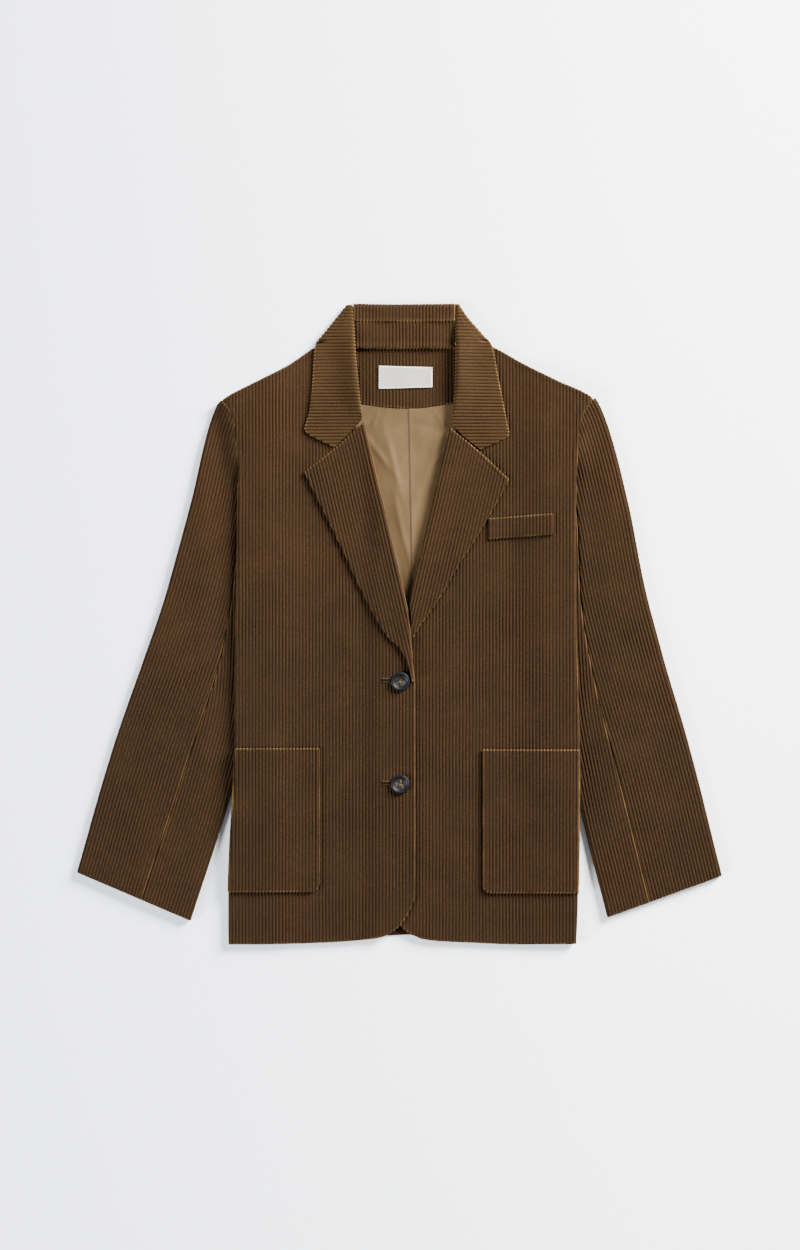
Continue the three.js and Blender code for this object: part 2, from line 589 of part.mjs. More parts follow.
// A leaf of the collar: rolled at the neck, and turned under where it goes round behind the shoulder
function leafWall(name, rows, outward, topAt) {
  const at = (key) => curve(rows, 'y', key);
  const [outer, inner] = [at('outer'), at('inner')];
  const [stands, roll, turn] = [at('stands'), at('roll'), at('turn')];
  const face = (u, v) => {
    const [outX, inX] = [outer(u), inner(u)];
    const fromOut = outward * (outX - v);
    const fromIn = outward * (v - inX);
    const near = fromOut < fromIn ? fold(fromOut + FOLD_SLACK * turn(u), turn(u))
      : fold(fromIn + FOLD_SLACK * roll(u), roll(u));
    const radius = fromOut < fromIn ? turn(u) : roll(u);
    const x = fromOut < fromIn ? outX - outward * near.inset : inX + outward * near.inset;
    const rest = topAt(x, u);
    const rise = Math.max(stands(u) - rest, 0) * Math.exp(-(((outward * (x - inX)) / 20) ** 2));
    const limit = fromOut < fromIn && turn(u) > 0.05 ? 2 * turn(u) : rest + rise;
    const height = mix(limit, rest + rise, ease(Math.min(fromOut, fromIn * 4) / 14));
    return new THREE.Vector3(x, u, height - 2 * radius * near.down);
  };
  const past = (radius) => (radius < 0.3 ? 0 : 2 * (QUARTER - 1) * radius + WRAP_END + radius * 0.6);
  const [first, last] = [rows[0].y, rows[rows.length - 1].y];
  const outerEdge = (u) => outer(u) + outward * past(turn(u));
  const innerEdge = (u) => inner(u) - outward * past(roll(u));
  return wall({
    name,
    colour: COLOURS.collar,
    columns: columnsOf({ from: first, to: last, step: 16, wales: [first, last] }),
    rows: [0, 0.07, 0.5, 0.72, 0.84, 0.92, 1],
    bottom: outward < 0 ? outerEdge : innerEdge,
    top: outward < 0 ? innerEdge : outerEdge,
    face,
    side: -1,
  });
}

// Moves a face out along its own normal, for a piece that lies on another
function movedOut(face, side, out) {
  const step = 0.05;
  return (u, v) => {
    const du = face(u + step, v).sub(face(u - step, v));
    const dv = face(u, v + step).sub(face(u, v - step));
    return face(u, v).addScaledVector(du.cross(dv).normalize(), side * out);
  };
}

// The back stretch of the collar: its top band inside the neck, the roll along its top and the fall behind
function collarBack() {
  const slack = FOLD_SLACK * COLLAR_TURN;
  const face = (u, v) => {
    const { inset, down } = fold(v + slack, COLLAR_TURN);
    return new THREE.Vector3(u, COLLAR_TOP_Y - inset, 2 * COLLAR_TURN * (1 - down));
  };
  const underneath = COLLAR_TOP_Y - FALL_EDGE_Y + 2 * slack;
  return wall({
    name: 'collar_back',
    colour: COLOURS.collar,
    columns: columnsOf({ from: -55, to: 67.5, step: 24, wales: [-55, 67.5] }),
    rows: [0, 0.6, 0.69, 0.77, 1],
    bottom: () => -underneath,
    top: () => COLLAR_TOP_Y - COLLAR_BAND_Y,
    left: (v) => rightLeafInner(face(0, v).y) + 0.9,
    right: (v) => leftLeafInner(face(0, v).y) - 0.9,
    face,
    side: -1,
  });
}

function collarStand() {
  const height = (y) => mix(7.2, 2 * COLLAR_TURN - 0.1, ease((y - NECK_SEAM_Y) / 32));
  return wall({
    name: 'collar_stand',
    colour: COLOURS.collar,
    columns: columnsOf({ from: -55, to: 68, step: 16, wales: [-55, 68] }),
    rows: [0, 0.5, 1],
    bottom: () => NECK_SEAM_Y,
    top: () => COLLAR_BAND_Y - SEAM,
    left: (y) => rightLeafInner(y) + 0.9,
    right: (y) => leftLeafInner(y) - 0.9,
    face: (u, v) => new THREE.Vector3(u, v, height(v)),
    cloth: 1.8,
  });
}

const rightLeafInner = curve(rightLeaf, 'y', 'inner');
const leftLeafInner = curve(leftLeaf, 'y', 'inner');
const facingBottom = curve(facingEdge, 'x', 'y');

function backNeckFacing() {
  return wall({
    name: 'back_neck_facing',
    colour: COLOURS.body,
    columns: columnsOf({ from: -56, to: 70, step: 16, wales: [-56, 70] }),
    rows: [0, 0.33, 0.66, 1],
    bottom: facingBottom,
    top: () => NECK_SEAM_Y - SEAM,
    left: (y) => rightLeafInner(y) + 0.9,
    right: (y) => leftLeafInner(y) - 0.9,
    face: (u, v) => new THREE.Vector3(u, v, lift(u, v) + FACING_LIFT),
    cloth: 1.8,
  });
}

function neckLabel() {
  const slant = (x) => LABEL.slope * (LABEL.leftX - x);
  return wall({
    name: 'neck_label',
    colour: COLOURS.label,
    columns: columnsOf({ from: LABEL.leftX, to: LABEL.rightX, step: 16 }),
    rows: [0, 0.5, 1],
    bottom: (x) => LABEL.bottomY - slant(x),
    top: (x) => LABEL.topY + slant(x),
    face: (u, v) => new THREE.Vector3(u, v, lift(u, v) + FACING_LIFT + WALE_HEIGHT + SEAM + LABEL_CLOTH),
    cloth: LABEL_CLOTH,
    wale: 0,
  });
}

// The back lining where it shows between the lapels, with the pleat down its middle
function backLining() {
  const lower = [
    { x: -54, y: 246 }, { x: -28, y: 133 }, { x: -8, y: 49 }, { x: 6, y: -8 }, { x: 12, y: -12 },
    { x: 18, y: -4 }, { x: 32, y: 60 }, { x: 48, y: 127 }, { x: 73, y: 240 },
  ];
  const pleat = (x, y) => {
    const past = x - PLEAT.x - PLEAT.lean * (259 - y);
    return PLEAT.height * Math.exp(-((past / PLEAT.width) ** 2));
  };
  return wall({
    name: 'back_lining',
    colour: COLOURS.lining,
    columns: columnsOf({ from: -54, to: 73, step: 16, folds: [[4, 24]] }),
    rows: [0, 0.3, 0.6, 1],
    bottom: curve(lower, 'x', 'y'),
    top: (x) => facingBottom(x) - 0.5,
    face: (u, v) => new THREE.Vector3(u, v, lift(u, v) + LINING_LIFT + pleat(u, v)),
    cloth: LINING_CLOTH,
    wale: 0,
  });
}

// A patch pocket on a front, its lower inner corner rounded, its outer side taken round the fold
function pocket(name, spec, outward, sideX, frontOf) {
  const inward = -outward;
  const rounded = (x) => {
    const into = spec.corner - Math.abs(x - spec.innerX);
    const drop = into > 0 ? spec.corner - Math.sqrt(Math.max(spec.corner ** 2 - into ** 2, 0)) : 0;
    return spec.bottomY + drop;
  };
  const wrapped = (y) => sideX(y) + outward * 0.5;
  const [from, to] = outward < 0 ? [-206, spec.innerX] : [spec.innerX, 218];
  return wall({
    name,
    colour: COLOURS.body,
    columns: columnsOf({
      from, to,
      folds: outward < 0 ? [[-206, -190], [-164, -164], [-110, -110], [to - 10, to]]
        : [[from, from + 10], [130, 130], [184, 184], [206, 218]],
      wales: [from, to],
    }),
    rows: [0, 0.3, 0.7, 1],
    bottom: rounded,
    top: () => spec.topY,
    [inward < 0 ? 'right' : 'left']: wrapped,
    face: movedOut(frontOf, 1, ON_TOP + POCKET_EASE),
  });
}

function breastWelt() {
  const top = (x) => WELT.topY + WELT.slope * (x - WELT.leftX);
  return wall({
    name: 'breast_welt',
    colour: COLOURS.body,
    columns: columnsOf({ from: WELT.leftX, to: WELT.rightX, wales: [WELT.leftX, WELT.rightX] }),
    rows: [0, 1],
    bottom: (x) => top(x) - WELT.height,
    top,
    face: movedOut(leftFrontFace, 1, ON_TOP),
  });
}

// A four-hole button with a raised rim, lying on the right front
function button({ name, x, y }) {
  const radius = BUTTON_DIAMETER / 2;
  const round = 0.9;
  const outline = new THREE.Shape().absarc(0, 0, radius - round, 0, 2 * Math.PI, false);
  for (let hole = 0; hole < 4; hole += 1) {
    const turn = BUTTON_TURN + Math.PI / 4 + hole * QUARTER;
    const away = BUTTON_HOLE_SPACING / Math.SQRT2;
    const path = new THREE.Path();
    path.absarc(away * Math.cos(turn), away * Math.sin(turn), BUTTON_HOLE / 2 + round, 0, 2 * Math.PI, true);
    outline.holes.push(path);
  }
  const geometry = new THREE.ExtrudeGeometry(outline, {
    depth: BUTTON_HEIGHT - 2 * round,
    curveSegments: 6,
    bevelEnabled: true,
    bevelSegments: 1,
    bevelSize: round,
    bevelThickness: round,
  });
  geometry.deleteAttribute('normal');
  geometry.deleteAttribute('uv');
  const mesh = meshOf(name, COLOURS.button, mergeVertices(geometry, 1e-3), { roughness: 0.3, metalness: 0 });
  mesh.position.set(x, y, rightFrontFace(x, y).z + WALE_HEIGHT + SEAM + round);
  return mesh;
}

const restingOn = (lap) => (x, y) => frontTop(x, y, lap(x)) + ON_TOP - 1.8 * ease((y - 345) / 35);

const parts = new THREE.Group();
parts.add(rightFront(), leftFront(), back());
for (const sleeve of sleeves) parts.add(topSleeve(sleeve), underSleeve(sleeve));
parts.add(
  collarBack(),
  collarStand(),
  leafWall('collar_right_leaf', rightLeaf, -1, restingOn(noLap)),
  leafWall('collar_left_leaf', leftLeaf, 1, restingOn(noLap)),
  backNeckFacing(),
  neckLabel(),
  backLining(),
  lapel('right_lapel', rightRoll, rightLapelTop, rightLapelEdge, rightApex, rightLap),
  lapel('left_lapel', leftRoll, leftLapelTop, leftLapelEdge, leftApex, noLap),
  pocket('right_pocket', rightPocket, -1, rightSideX, rightFrontFace),
  pocket('left_pocket', leftPocket, 1, leftSideX, leftFrontFace),
  breastWelt(),
);
for (const spec of BUTTONS) parts.add(button(spec));

export default parts;
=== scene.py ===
# The corduroy jacket laid flat: every CAD piece of cloth gets a fine shell on its own form.
# Sizes are in millimetres, as in the part's source, and become metres where a mesh is made.
# In names, right and left are the wearer's, so right_front is at negative x. A wall's left and right
# edges are where its u is lowest and highest.
import math

import bmesh
import bpy
import numpy as np
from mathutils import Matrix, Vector


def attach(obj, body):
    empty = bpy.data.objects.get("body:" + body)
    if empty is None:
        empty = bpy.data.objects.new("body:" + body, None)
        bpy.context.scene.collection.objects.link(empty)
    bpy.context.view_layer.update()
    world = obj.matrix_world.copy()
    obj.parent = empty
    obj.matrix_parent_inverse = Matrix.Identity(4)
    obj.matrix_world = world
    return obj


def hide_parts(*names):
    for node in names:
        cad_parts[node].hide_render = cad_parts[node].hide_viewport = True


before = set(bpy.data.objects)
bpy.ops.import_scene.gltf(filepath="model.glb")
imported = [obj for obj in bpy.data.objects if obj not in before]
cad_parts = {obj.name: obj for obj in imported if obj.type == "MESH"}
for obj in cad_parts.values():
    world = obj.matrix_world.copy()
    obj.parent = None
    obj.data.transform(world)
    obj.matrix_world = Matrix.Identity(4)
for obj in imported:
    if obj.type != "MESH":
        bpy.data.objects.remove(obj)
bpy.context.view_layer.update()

MM = 0.001

# Cloth
CLOTH = 2.0
WALE_PITCH = 4.0
WALE_HEIGHT = 1.05
RIB = 0.8  # height of a wale in the layers' own spacing
THIN_CLOTH = 1.8  # of the stand and the facing
LINING_CLOTH = 1.0
LABEL_CLOTH = 0.6
SEAM = 0.3
ARMHOLE_TUCK = 1.6  # how far a sleeve goes in under a front's side at the armhole
ON_TOP = RIB + SEAM + CLOTH
EASE = 0.5  # more room for a lapel over a panel that rises under it
POCKET_EASE = 0.75  # the same for a pocket
LEAF_CLEAR = 0.6  # from the collar's leaves to what lies between them
BUTTON_LIFT = 0.55  # from a front's ridges to a button
SLEEVE_TUCKED = 5.2
SLEEVE_FREE = 7.6
TUCK_LIFT = SLEEVE_TUCKED + RIB + SEAM
FRONT_FACE = 6.0
OVERLAP_LIFT = 3.3
BODY_FOLD = FRONT_FACE / 2
SIDE_WRAP = 52
BACK_CLEAR = 16  # the back's sides turn in that far above the fronts'
SIDE_SEAM_ROOM = 1.6
QUARTER = math.pi / 2
FOLD_SLACK = QUARTER - 1

# Where the photograph was taken from: straight above, through a long lens
FRAME_HEIGHT = 1500  # what the picture's height covers on the floor
FRAME_CENTRE = (1.2, -1.2)
CAMERA_HEIGHT = 6000
SENSOR = 24


def table(columns, *rows):
    """A table of named columns, a row for each height, place or fold."""
    return {name: np.array([row[i] for row in rows], float) for i, name in enumerate(columns.split())}


ARMPIT_Y = 172
SEAM_TOP_Y = 128
HIDDEN_SLOPE = 0.3  # how far a sleeve's hidden end drops for each millimetre under the body
right_side = table("y x", (-384, -204), (-320, -204), (-268, -202), (-145, -196), (-43, -196),
                   (92, -194), (172, -193), (229, -197), (258, -205), (268, -214.5))
left_side = table("y x", (-384, 212), (-324, 214), (-152, 216), (-19, 212), (64, 211),
                  (124, 211), (188, 214), (229, 217), (250, 222), (270, 235.5))
right_front_top = table(
    "x y", (-216, 264), (-208, 271), (-174, 289), (-133, 310), (-101, 331), (-68, 343), (-64.5, 323),
    (-60.5, 284), (-53, 240), (-40, 208), (-21, 133), (-1, 49), (4.5, 14), (9, -22), (15, -50), (20, -74))
left_front_top = table(
    "x y", (-16, -78), (-6, -42), (4, -14), (16.5, 17), (24.5, 62), (41, 127), (61, 214), (74, 245),
    (78, 284), (80, 323), (83, 343), (115, 331), (147, 313), (189, 292), (232, 271), (237, 263))
right_front_hem = table(
    "x y", (-262, -384), (-170, -384), (-90, -382), (-47, -379), (-22, -375.5), (-4, -366), (6, -355),
    (13, -342), (18, -330), (20, -318))
left_front_hem = table(
    "x y", (-16, -322), (-13, -338), (-7, -352), (2, -362), (14, -371.5), (30, -378), (45, -380),
    (87, -382), (142, -384), (272, -383))
back_hem = table(
    "x y", (-160, -381), (-60, -378), (-15, -374), (11, -373), (40, -375), (90, -379), (170, -381))
back_top = table(
    "x y", (-216, 263), (-208, 270), (-174, 288), (-133, 309), (-101, 329), (-82, 333), (-52, 330),
    (-25, 329), (11, 329), (45, 329), (68, 331), (92, 334), (115, 330), (147, 312), (189, 291),
    (232, 270), (237, 262))
right_sleeve = table(
    "at outer_x outer_y inner_x inner_y seam",
    (0, -386, -298, -250, -356, 84), (158, -342, -146, -198, -190, 90), (267, -306, -43, -174, -86, 88),
    (352, -279, 37, -170, 8, 79), (462, -250, 143, -170, 120, 60), (585, -218, 262, -158, 245, 44),
    (596, -211.5, 269, -157, 255, 43))
left_sleeve = table(
    "at outer_x outer_y inner_x inner_y seam",
    (0, 387, -302, 250, -352, 92), (156, 349, -151, 212, -194, 91), (281, 314, -31, 192, -74, 86),
    (366, 293, 51, 188, 20, 78), (460, 275, 143, 190, 117, 64), (590, 237, 268, 172, 248, 48),
    (599, 232.5, 272, 171, 256, 47))
SLEEVE_END_AT = 440
BACK_SEAM = 25
OUTER_FOLD = SLEEVE_FREE / 2
INNER_FOLD = SLEEVE_TUCKED / 2
OFF_SLEEVE = {"right": (-110, -164), "left": (130, 184)}
HEM_LIFT = 0.2  # share of the body's lift over a sleeve that is left at the hem
LIFT_ROWS = (-384, -196)  # where that share grows to the whole
LAP_RAMP = (-46, -20)

right_roll = {"start": (-43, 244), "end": (11, 14), "out": -1}
left_roll = {"start": (62, 238), "end": (10, 17), "out": 1}
right_lapel_top = table("a s", (0, 2.5), (41.9, 25.5), (82.5, 44))
right_lapel_edge = table(
    "a s", (-12, 318), (14.0, 318), (14.6, 300), (17.5, 280), (31, 257.8), (46, 208.7), (63.2, 128),
    (82.5, 45.5))
right_apex = table("s a", (0, 0), (225, 0), (262, 3.4), (290, 7.7), (304, 9.9), (318, 11.8))
left_lapel_top = table("a s", (0, 3), (40.7, 23), (82.5, 47))
left_lapel_edge = table(
    "a s", (-12, 214), (0, 219), (5, 232), (13, 258), (20, 240), (35, 201.3), (46.5, 162.7), (58.3, 130),
    (69.5, 94.6), (82.5, 48.5))
left_apex = table("s a", (0, 0), (300, 0))
LAPEL_ROLL = 3.4
LAPEL_RISE = 1.9

LEAF = "y outer inner stands roll turn"
right_leaf = table(
    LEAF, (212.5, -79, -77, 9.1, 0, 0), (234, -113, -54.5, 9.4, 0, 0), (247, -109.5, -44.5, 11, 0, 0),
    (264, -106, -46.5, 13.5, 3.2, 0), (284, -104, -48, 17, 5.6, 0), (323, -101.5, -52, 17, 5.2, 0),
    (336, -100, -53, 16, 4.6, 0), (343, -94, -53.5, 15, 4.2, 4.4), (354, -85, -54, 12.5, 3.6, 4.4),
    (370, -72, -55, 9.5, 3.2, 4), (383, -62, -56, 8, 3, 4))
left_leaf = table(
    LEAF, (209.5, 99, 97, 9.1, 0, 0), (228, 132, 74, 9.4, 0, 0), (243, 129, 63.5, 11, 0, 0),
    (264, 125, 65.5, 13.5, 3.2, 0), (300, 118, 67.5, 17, 5.6, 0), (323, 114, 68, 17, 5.2, 0),
    (337, 110, 68, 16, 4.6, 0), (344, 103, 68, 15, 4.2, 4.4), (352, 96, 68, 12.5, 3.6, 4.4),
    (368, 82, 68.5, 9.5, 3.2, 4), (384, 71, 69, 8, 3, 4))
COLLAR_TOP_Y = 384
COLLAR_BAND_Y = 363
NECK_SEAM_Y = 330
COLLAR_TURN = 4
FALL_EDGE_Y = 337
WRAP_END = 2
facing_edge = table("x y", (-58, 265), (-47, 264), (11, 259), (67, 265), (78, 266))
PLEAT = {"x": 12, "at_y": 259, "lean": 0.02}
FACING_LIFT = 4.1
LINING_LIFT = 3.3

right_pocket = {"inner": -95, "top": -149, "bottom": -321, "corner": 11}
left_pocket = {"inner": 100, "top": -150.5, "bottom": -322.5, "corner": 11}
WELT = {"left": 107, "right": 185, "top": 126.5, "height": 25, "slope": 0.075}
LABEL = {"left": -24, "right": 40, "top": 309.5, "bottom": 282, "slope": 0.028}
BUTTONS = [("upper_button", 1.8, -69, 0.2), ("lower_button", 1.4, -192, -0.35)]
BUTTON_RADIUS = 11.5
BUTTON_HOLE_RADIUS = 1.1
BUTTON_HOLES_AT = 4.2 / math.sqrt(2)
BUTTON_PROFILE = [
    (0, 1.55), (3.5, 1.5), (6.6, 1.6), (7.7, 2.1), (8.6, 3.0), (9.6, 3.45), (10.5, 3.3), (11.2, 2.6),
    (11.5, 1.8), (11.3, 1.0), (10.4, 0.35), (8.6, 0.05), (5.0, 0.0)]
BUTTON_SIDES = 96
BUTTONHOLE = {"left": -19.5, "above": 1.6, "stitches": 19, "step": 0.62,
              "slit_left": -19, "slit_points": 9, "slit_step": 1.2}

# Soft creases, pressed in (below 0) or standing up: middle, half length, half width, lean and height
CREASE = "x y long wide lean height"
BODY_CREASES = table(
    CREASE,
    (-150, 120, 60, 16, 1.45, -0.5), (-120, -60, 90, 22, 1.62, 0.5), (-60, -120, 110, 20, 1.5, -0.5),
    (60, -60, 120, 18, 1.6, 0.5), (150, -60, 90, 18, 1.7, -0.5), (170, 190, 60, 20, 1.9, 0.4),
    (-140, 230, 50, 18, 1.2, 0.4), (90, -240, 60, 22, 0.2, -0.4), (-60, -300, 60, 18, 0.1, 0.4))
SLEEVE_CREASES = table(
    CREASE,
    (-262, 0, 46, 9, 0.5, -0.9), (-275, -60, 50, 10, 0.3, 0.7), (-292, -120, 46, 9, -0.2, -0.7),
    (-235, 150, 60, 9, 1.3, 0.6), (-320, -230, 60, 14, 1.2, 0.5), (275, -20, 46, 9, 2.6, -0.9),
    (290, -75, 50, 10, 2.9, 0.7), (300, -140, 46, 9, 3.3, -0.7), (250, 160, 60, 9, 1.8, 0.6),
    (330, -240, 60, 14, 1.9, 0.5))


def mix(low, high, part):
    return low + (high - low) * part


def level(height):
    """A row that stays at one height."""
    return lambda u: 0 * u + height


def linear(value, low, high):
    return np.clip((value - low) / (high - low), 0, 1)


def bump_at(distance, width):
    """A soft bump: 1 at no distance, and almost nothing two widths away."""
    return np.exp(-(distance / width) ** 2)


def ease(value):
    part = np.clip(value, 0, 1)
    return part * part * (3 - 2 * part)


def curve(rows, at="x", key="y"):
    """A smooth curve through a table, without overshoot."""
    xs, ys = rows[at], rows[key]
    rise = np.diff(ys) / np.diff(xs)
    slopes = np.empty_like(ys)
    slopes[0], slopes[-1] = rise[0], rise[-1]
    before, after = rise[:-1], rise[1:]
    together = before * after > 0
    total = np.where(together, before + after, 1.0)
    slopes[1:-1] = np.where(together, 2 * before * after / total, 0.0)

    def value(x):
        x = np.clip(x, xs[0], xs[-1])
        i = np.clip(np.searchsorted(xs, x, side="right") - 1, 0, len(xs) - 2)
        width = xs[i + 1] - xs[i]
        t = (x - xs[i]) / width
        near = (1 + 2 * t) * (1 - t) ** 2 * ys[i] + t * (1 - t) ** 2 * width * slopes[i]
        far = t * t * (3 - 2 * t) * ys[i + 1] + t * t * (t - 1) * width * slopes[i + 1]
        return near + far
    return value


NO_FOLD = 0.05  # a radius below which cloth lies flat


def fold(run, radius):
    """Cloth that goes round a fold: how far in from the edge it lies, and how far down, from 0 to 1."""
    radius = np.asarray(radius, float) + 0 * run
    safe = np.maximum(radius, NO_FOLD)
    turn = run / safe
    inset = np.where(turn >= QUARTER, run - FOLD_SLACK * safe,
                     np.where(turn <= -QUARTER, -run - FOLD_SLACK * safe, safe * (1 - np.cos(turn))))
    down = np.where(turn >= QUARTER, 0.0, np.where(turn <= -QUARTER, 1.0, (1 - np.sin(turn)) / 2))
    flat = radius < NO_FOLD
    return np.where(flat, run, inset), np.where(flat, 0.0, down)


def creased(rows, x, y):
    """Height that a table's soft creases add."""
    height = 0 * x
    for i, (at_x, at_y, long, wide, lean, high) in enumerate(zip(*rows.values())):
        dx, dy = x - at_x, y - at_y
        along = dx * math.cos(lean) + dy * math.sin(lean)
        bend = dy * math.cos(lean) - dx * math.sin(lean) + 3 * np.sin(along / 30 + i)
        height = height + high * np.exp(-((along / long) ** 2 + (bend / wide) ** 2))
    return height


def wander(x, y, size, seed):
    """A smooth uneven value about 0, of roughly 1, that changes over about `size`."""
    total = 0 * x
    for i in range(4):
        angle = seed * 1.7 + i * 2.4
        way = (x * math.cos(angle) + y * math.sin(angle)) / size
        total = total + np.sin(way * (1 + 0.37 * i) + seed * 3.1 + i)
    return total / 2.2


right_side_x = curve(right_side, "y", "x")
left_side_x = curve(left_side, "y", "x")


def lift(x, y):
    """How far the sleeves under it hold the body up."""
    across = np.maximum(linear(x, *OFF_SLEEVE["right"]), linear(x, *OFF_SLEEVE["left"]))
    return TUCK_LIFT * ease(across) * mix(HEM_LIFT, 1, linear(y, *LIFT_ROWS))


def right_lap(x):
    return OVERLAP_LIFT * ease(linear(x, *LAP_RAMP))


def no_lap(x):
    return 0 * x


def front_top(x, y, lap):
    """Height of a front's grooves."""
    return lift(x, y) + FRONT_FACE + lap + creased(BODY_CREASES, x, y) + 0.2 * wander(x, y, 40, 2)


def placed(name, data):
    """A new object in the scene."""
    made = bpy.data.objects.new(name, data)
    bpy.context.collection.objects.link(made)
    return made


def object_from(name, points, faces, fields=None):
    """A smooth mesh object from points in millimetres, joined where an edge has brought them together."""
    mesh = bpy.data.meshes.new(name)
    mesh.from_pydata((np.asarray(points) * MM).tolist(), [], faces)
    for key, values in (fields or {}).items():
        layer = mesh.attributes.new(key, "FLOAT", "POINT")
        layer.data.foreach_set("value", np.asarray(values, np.float32))
    work = bmesh.new()
    work.from_mesh(mesh)
    bmesh.ops.remove_doubles(work, verts=work.verts, dist=2e-6)
    bmesh.ops.dissolve_degenerate(work, edges=work.edges, dist=1e-7)
    bmesh.ops.recalc_face_normals(work, faces=work.faces)
    work.to_mesh(mesh)
    work.free()
    mesh.shade_smooth()
    mesh.set_sharp_from_angle(angle=math.radians(58))
    return placed(name, mesh)


WALE_STEPS = 6  # points across each wale
EDGE_ROUND = 1.3  # radius of a turned edge of cloth
EDGE_STEPS = np.array([0.25, 0.7, 1.4, 2.4])  # where rows and columns close up to an edge
STITCH_DEPTH = 0.5
STITCH_WIDTH = 0.8
OFF_FLOOR = 0.02
FAR = 99
HALVINGS = 36  # of a length, until the place that is looked for is found
SLOPE_STEP = 0.05


def spread(length, step):
    """Row fractions along a length, closer together by both ends."""
    middle = np.linspace(0, 1, max(int(length / step), 2) + 1)
    ends = EDGE_STEPS / length
    return np.unique(np.concatenate([middle, ends, 1 - ends]))


def columns_of(span, wales, plain_step):
    """Where the plain inside of a wall and its ribbed outside have their columns."""
    low, high = span
    plain = np.unique(np.round(np.concatenate([np.arange(low, high, plain_step), [high]]), 4))
    if not wales:
        return plain, plain
    first, last = math.ceil(wales[0] / WALE_PITCH), math.floor(wales[1] / WALE_PITCH)
    ribs = np.arange(first, last, 1 / WALE_STEPS) * WALE_PITCH
    return plain, np.unique(np.round(np.concatenate([plain, ribs, low + EDGE_STEPS, high - EDGE_STEPS]), 4))


def halved(near, far, before):
    """Closes two ends in on the place between them up to which `before` is true."""
    for _ in range(HALVINGS):
        middle = (near + far) / 2
        passed = before(middle)
        near, far = np.where(passed, middle, near), np.where(passed, far, middle)
    return near, far


def sides_of(span, rows, bottom, top, left, right):
    """Where each row starts and ends."""
    ends = [np.full(rows.shape, u, float) for u in span]

    def side_at(edge, plain):
        if edge is None:
            return plain
        near, far = halved(*ends, lambda u: u < edge(mix(bottom(u), top(u), rows)))
        return (near + far) / 2

    return side_at(left, ends[0]), side_at(right, ends[1])


def ribs_at(u, v, wales, seed):
    """How far up a wale a place is, from 0 in a groove to 1 on a ridge, its wale and whether it has one."""
    phase = (u + 0.16 * wander(v, u, 22, seed)) / WALE_PITCH
    inside = (u >= wales[0]) & (u <= wales[1])
    return np.where(inside, np.abs(np.sin(np.pi * phase)) ** 0.75, 0.5), np.floor(phase), inside


def relief(u, v, normal, edge, cloth, wales, stitch, seed):
    """How far the outside stands off its plain form, and how far up a wale each place is."""
    close = np.clip(EDGE_ROUND - edge, 0, EDGE_ROUND)
    rounding = EDGE_ROUND - np.sqrt(np.maximum(EDGE_ROUND ** 2 - close ** 2, 0))
    out = -rounding * min(0.8, cloth / 2.5)
    ridge = np.full(u.shape, 0.5)
    if wales:
        ridge, number, inside = ribs_at(u, v, wales, seed)
        pressed = 0.84 + 0.16 * wander(u, v, 30, seed + 5)
        height = WALE_HEIGHT * (1 + 0.1 * np.sin(number * 12.9 + seed)) * pressed
        flatten = np.clip(normal[2] * 4 + 1.2, 0.0, 1) * (1 - 0.35 * np.exp(-edge / 1.2))
        out = out + np.where(inside, ridge * height * flatten, 0)
    if stitch:
        out = out - STITCH_DEPTH * bump_at(edge - stitch, STITCH_WIDTH)
    return out, ridge


def shell_faces(count_rows, fine, plain):
    """Faces of a closed shell: its outside over the fine columns, its inside and the edges between."""
    count, inner_count = len(fine), len(plain)
    base = count_rows * count
    faces = []
    for j in range(count_rows - 1):
        a, b = j * count, (j + 1) * count
        c, d = base + j * inner_count, base + (j + 1) * inner_count
        faces += [(a + i, a + i + 1, b + i + 1, b + i) for i in range(count - 1)]
        faces += [(c + i + 1, c + i, d + i, d + i + 1) for i in range(inner_count - 1)]
        faces.append((c, a, b, d))
        faces.append((a + count - 1, c + inner_count - 1, d + inner_count - 1, b + count - 1))
    for j, flip in ((0, False), (count_rows - 1, True)):
        i = 0
        for k in range(inner_count - 1):
            first = base + j * inner_count + k
            arc = [j * count + i]
            while i < count - 1 and fine[i] < plain[k + 1] - 1e-6:
                i += 1
                arc.append(j * count + i)
            ring = [first, first + 1] + arc[::-1]
            faces.append(tuple(ring[::-1] if flip else ring))
    return faces


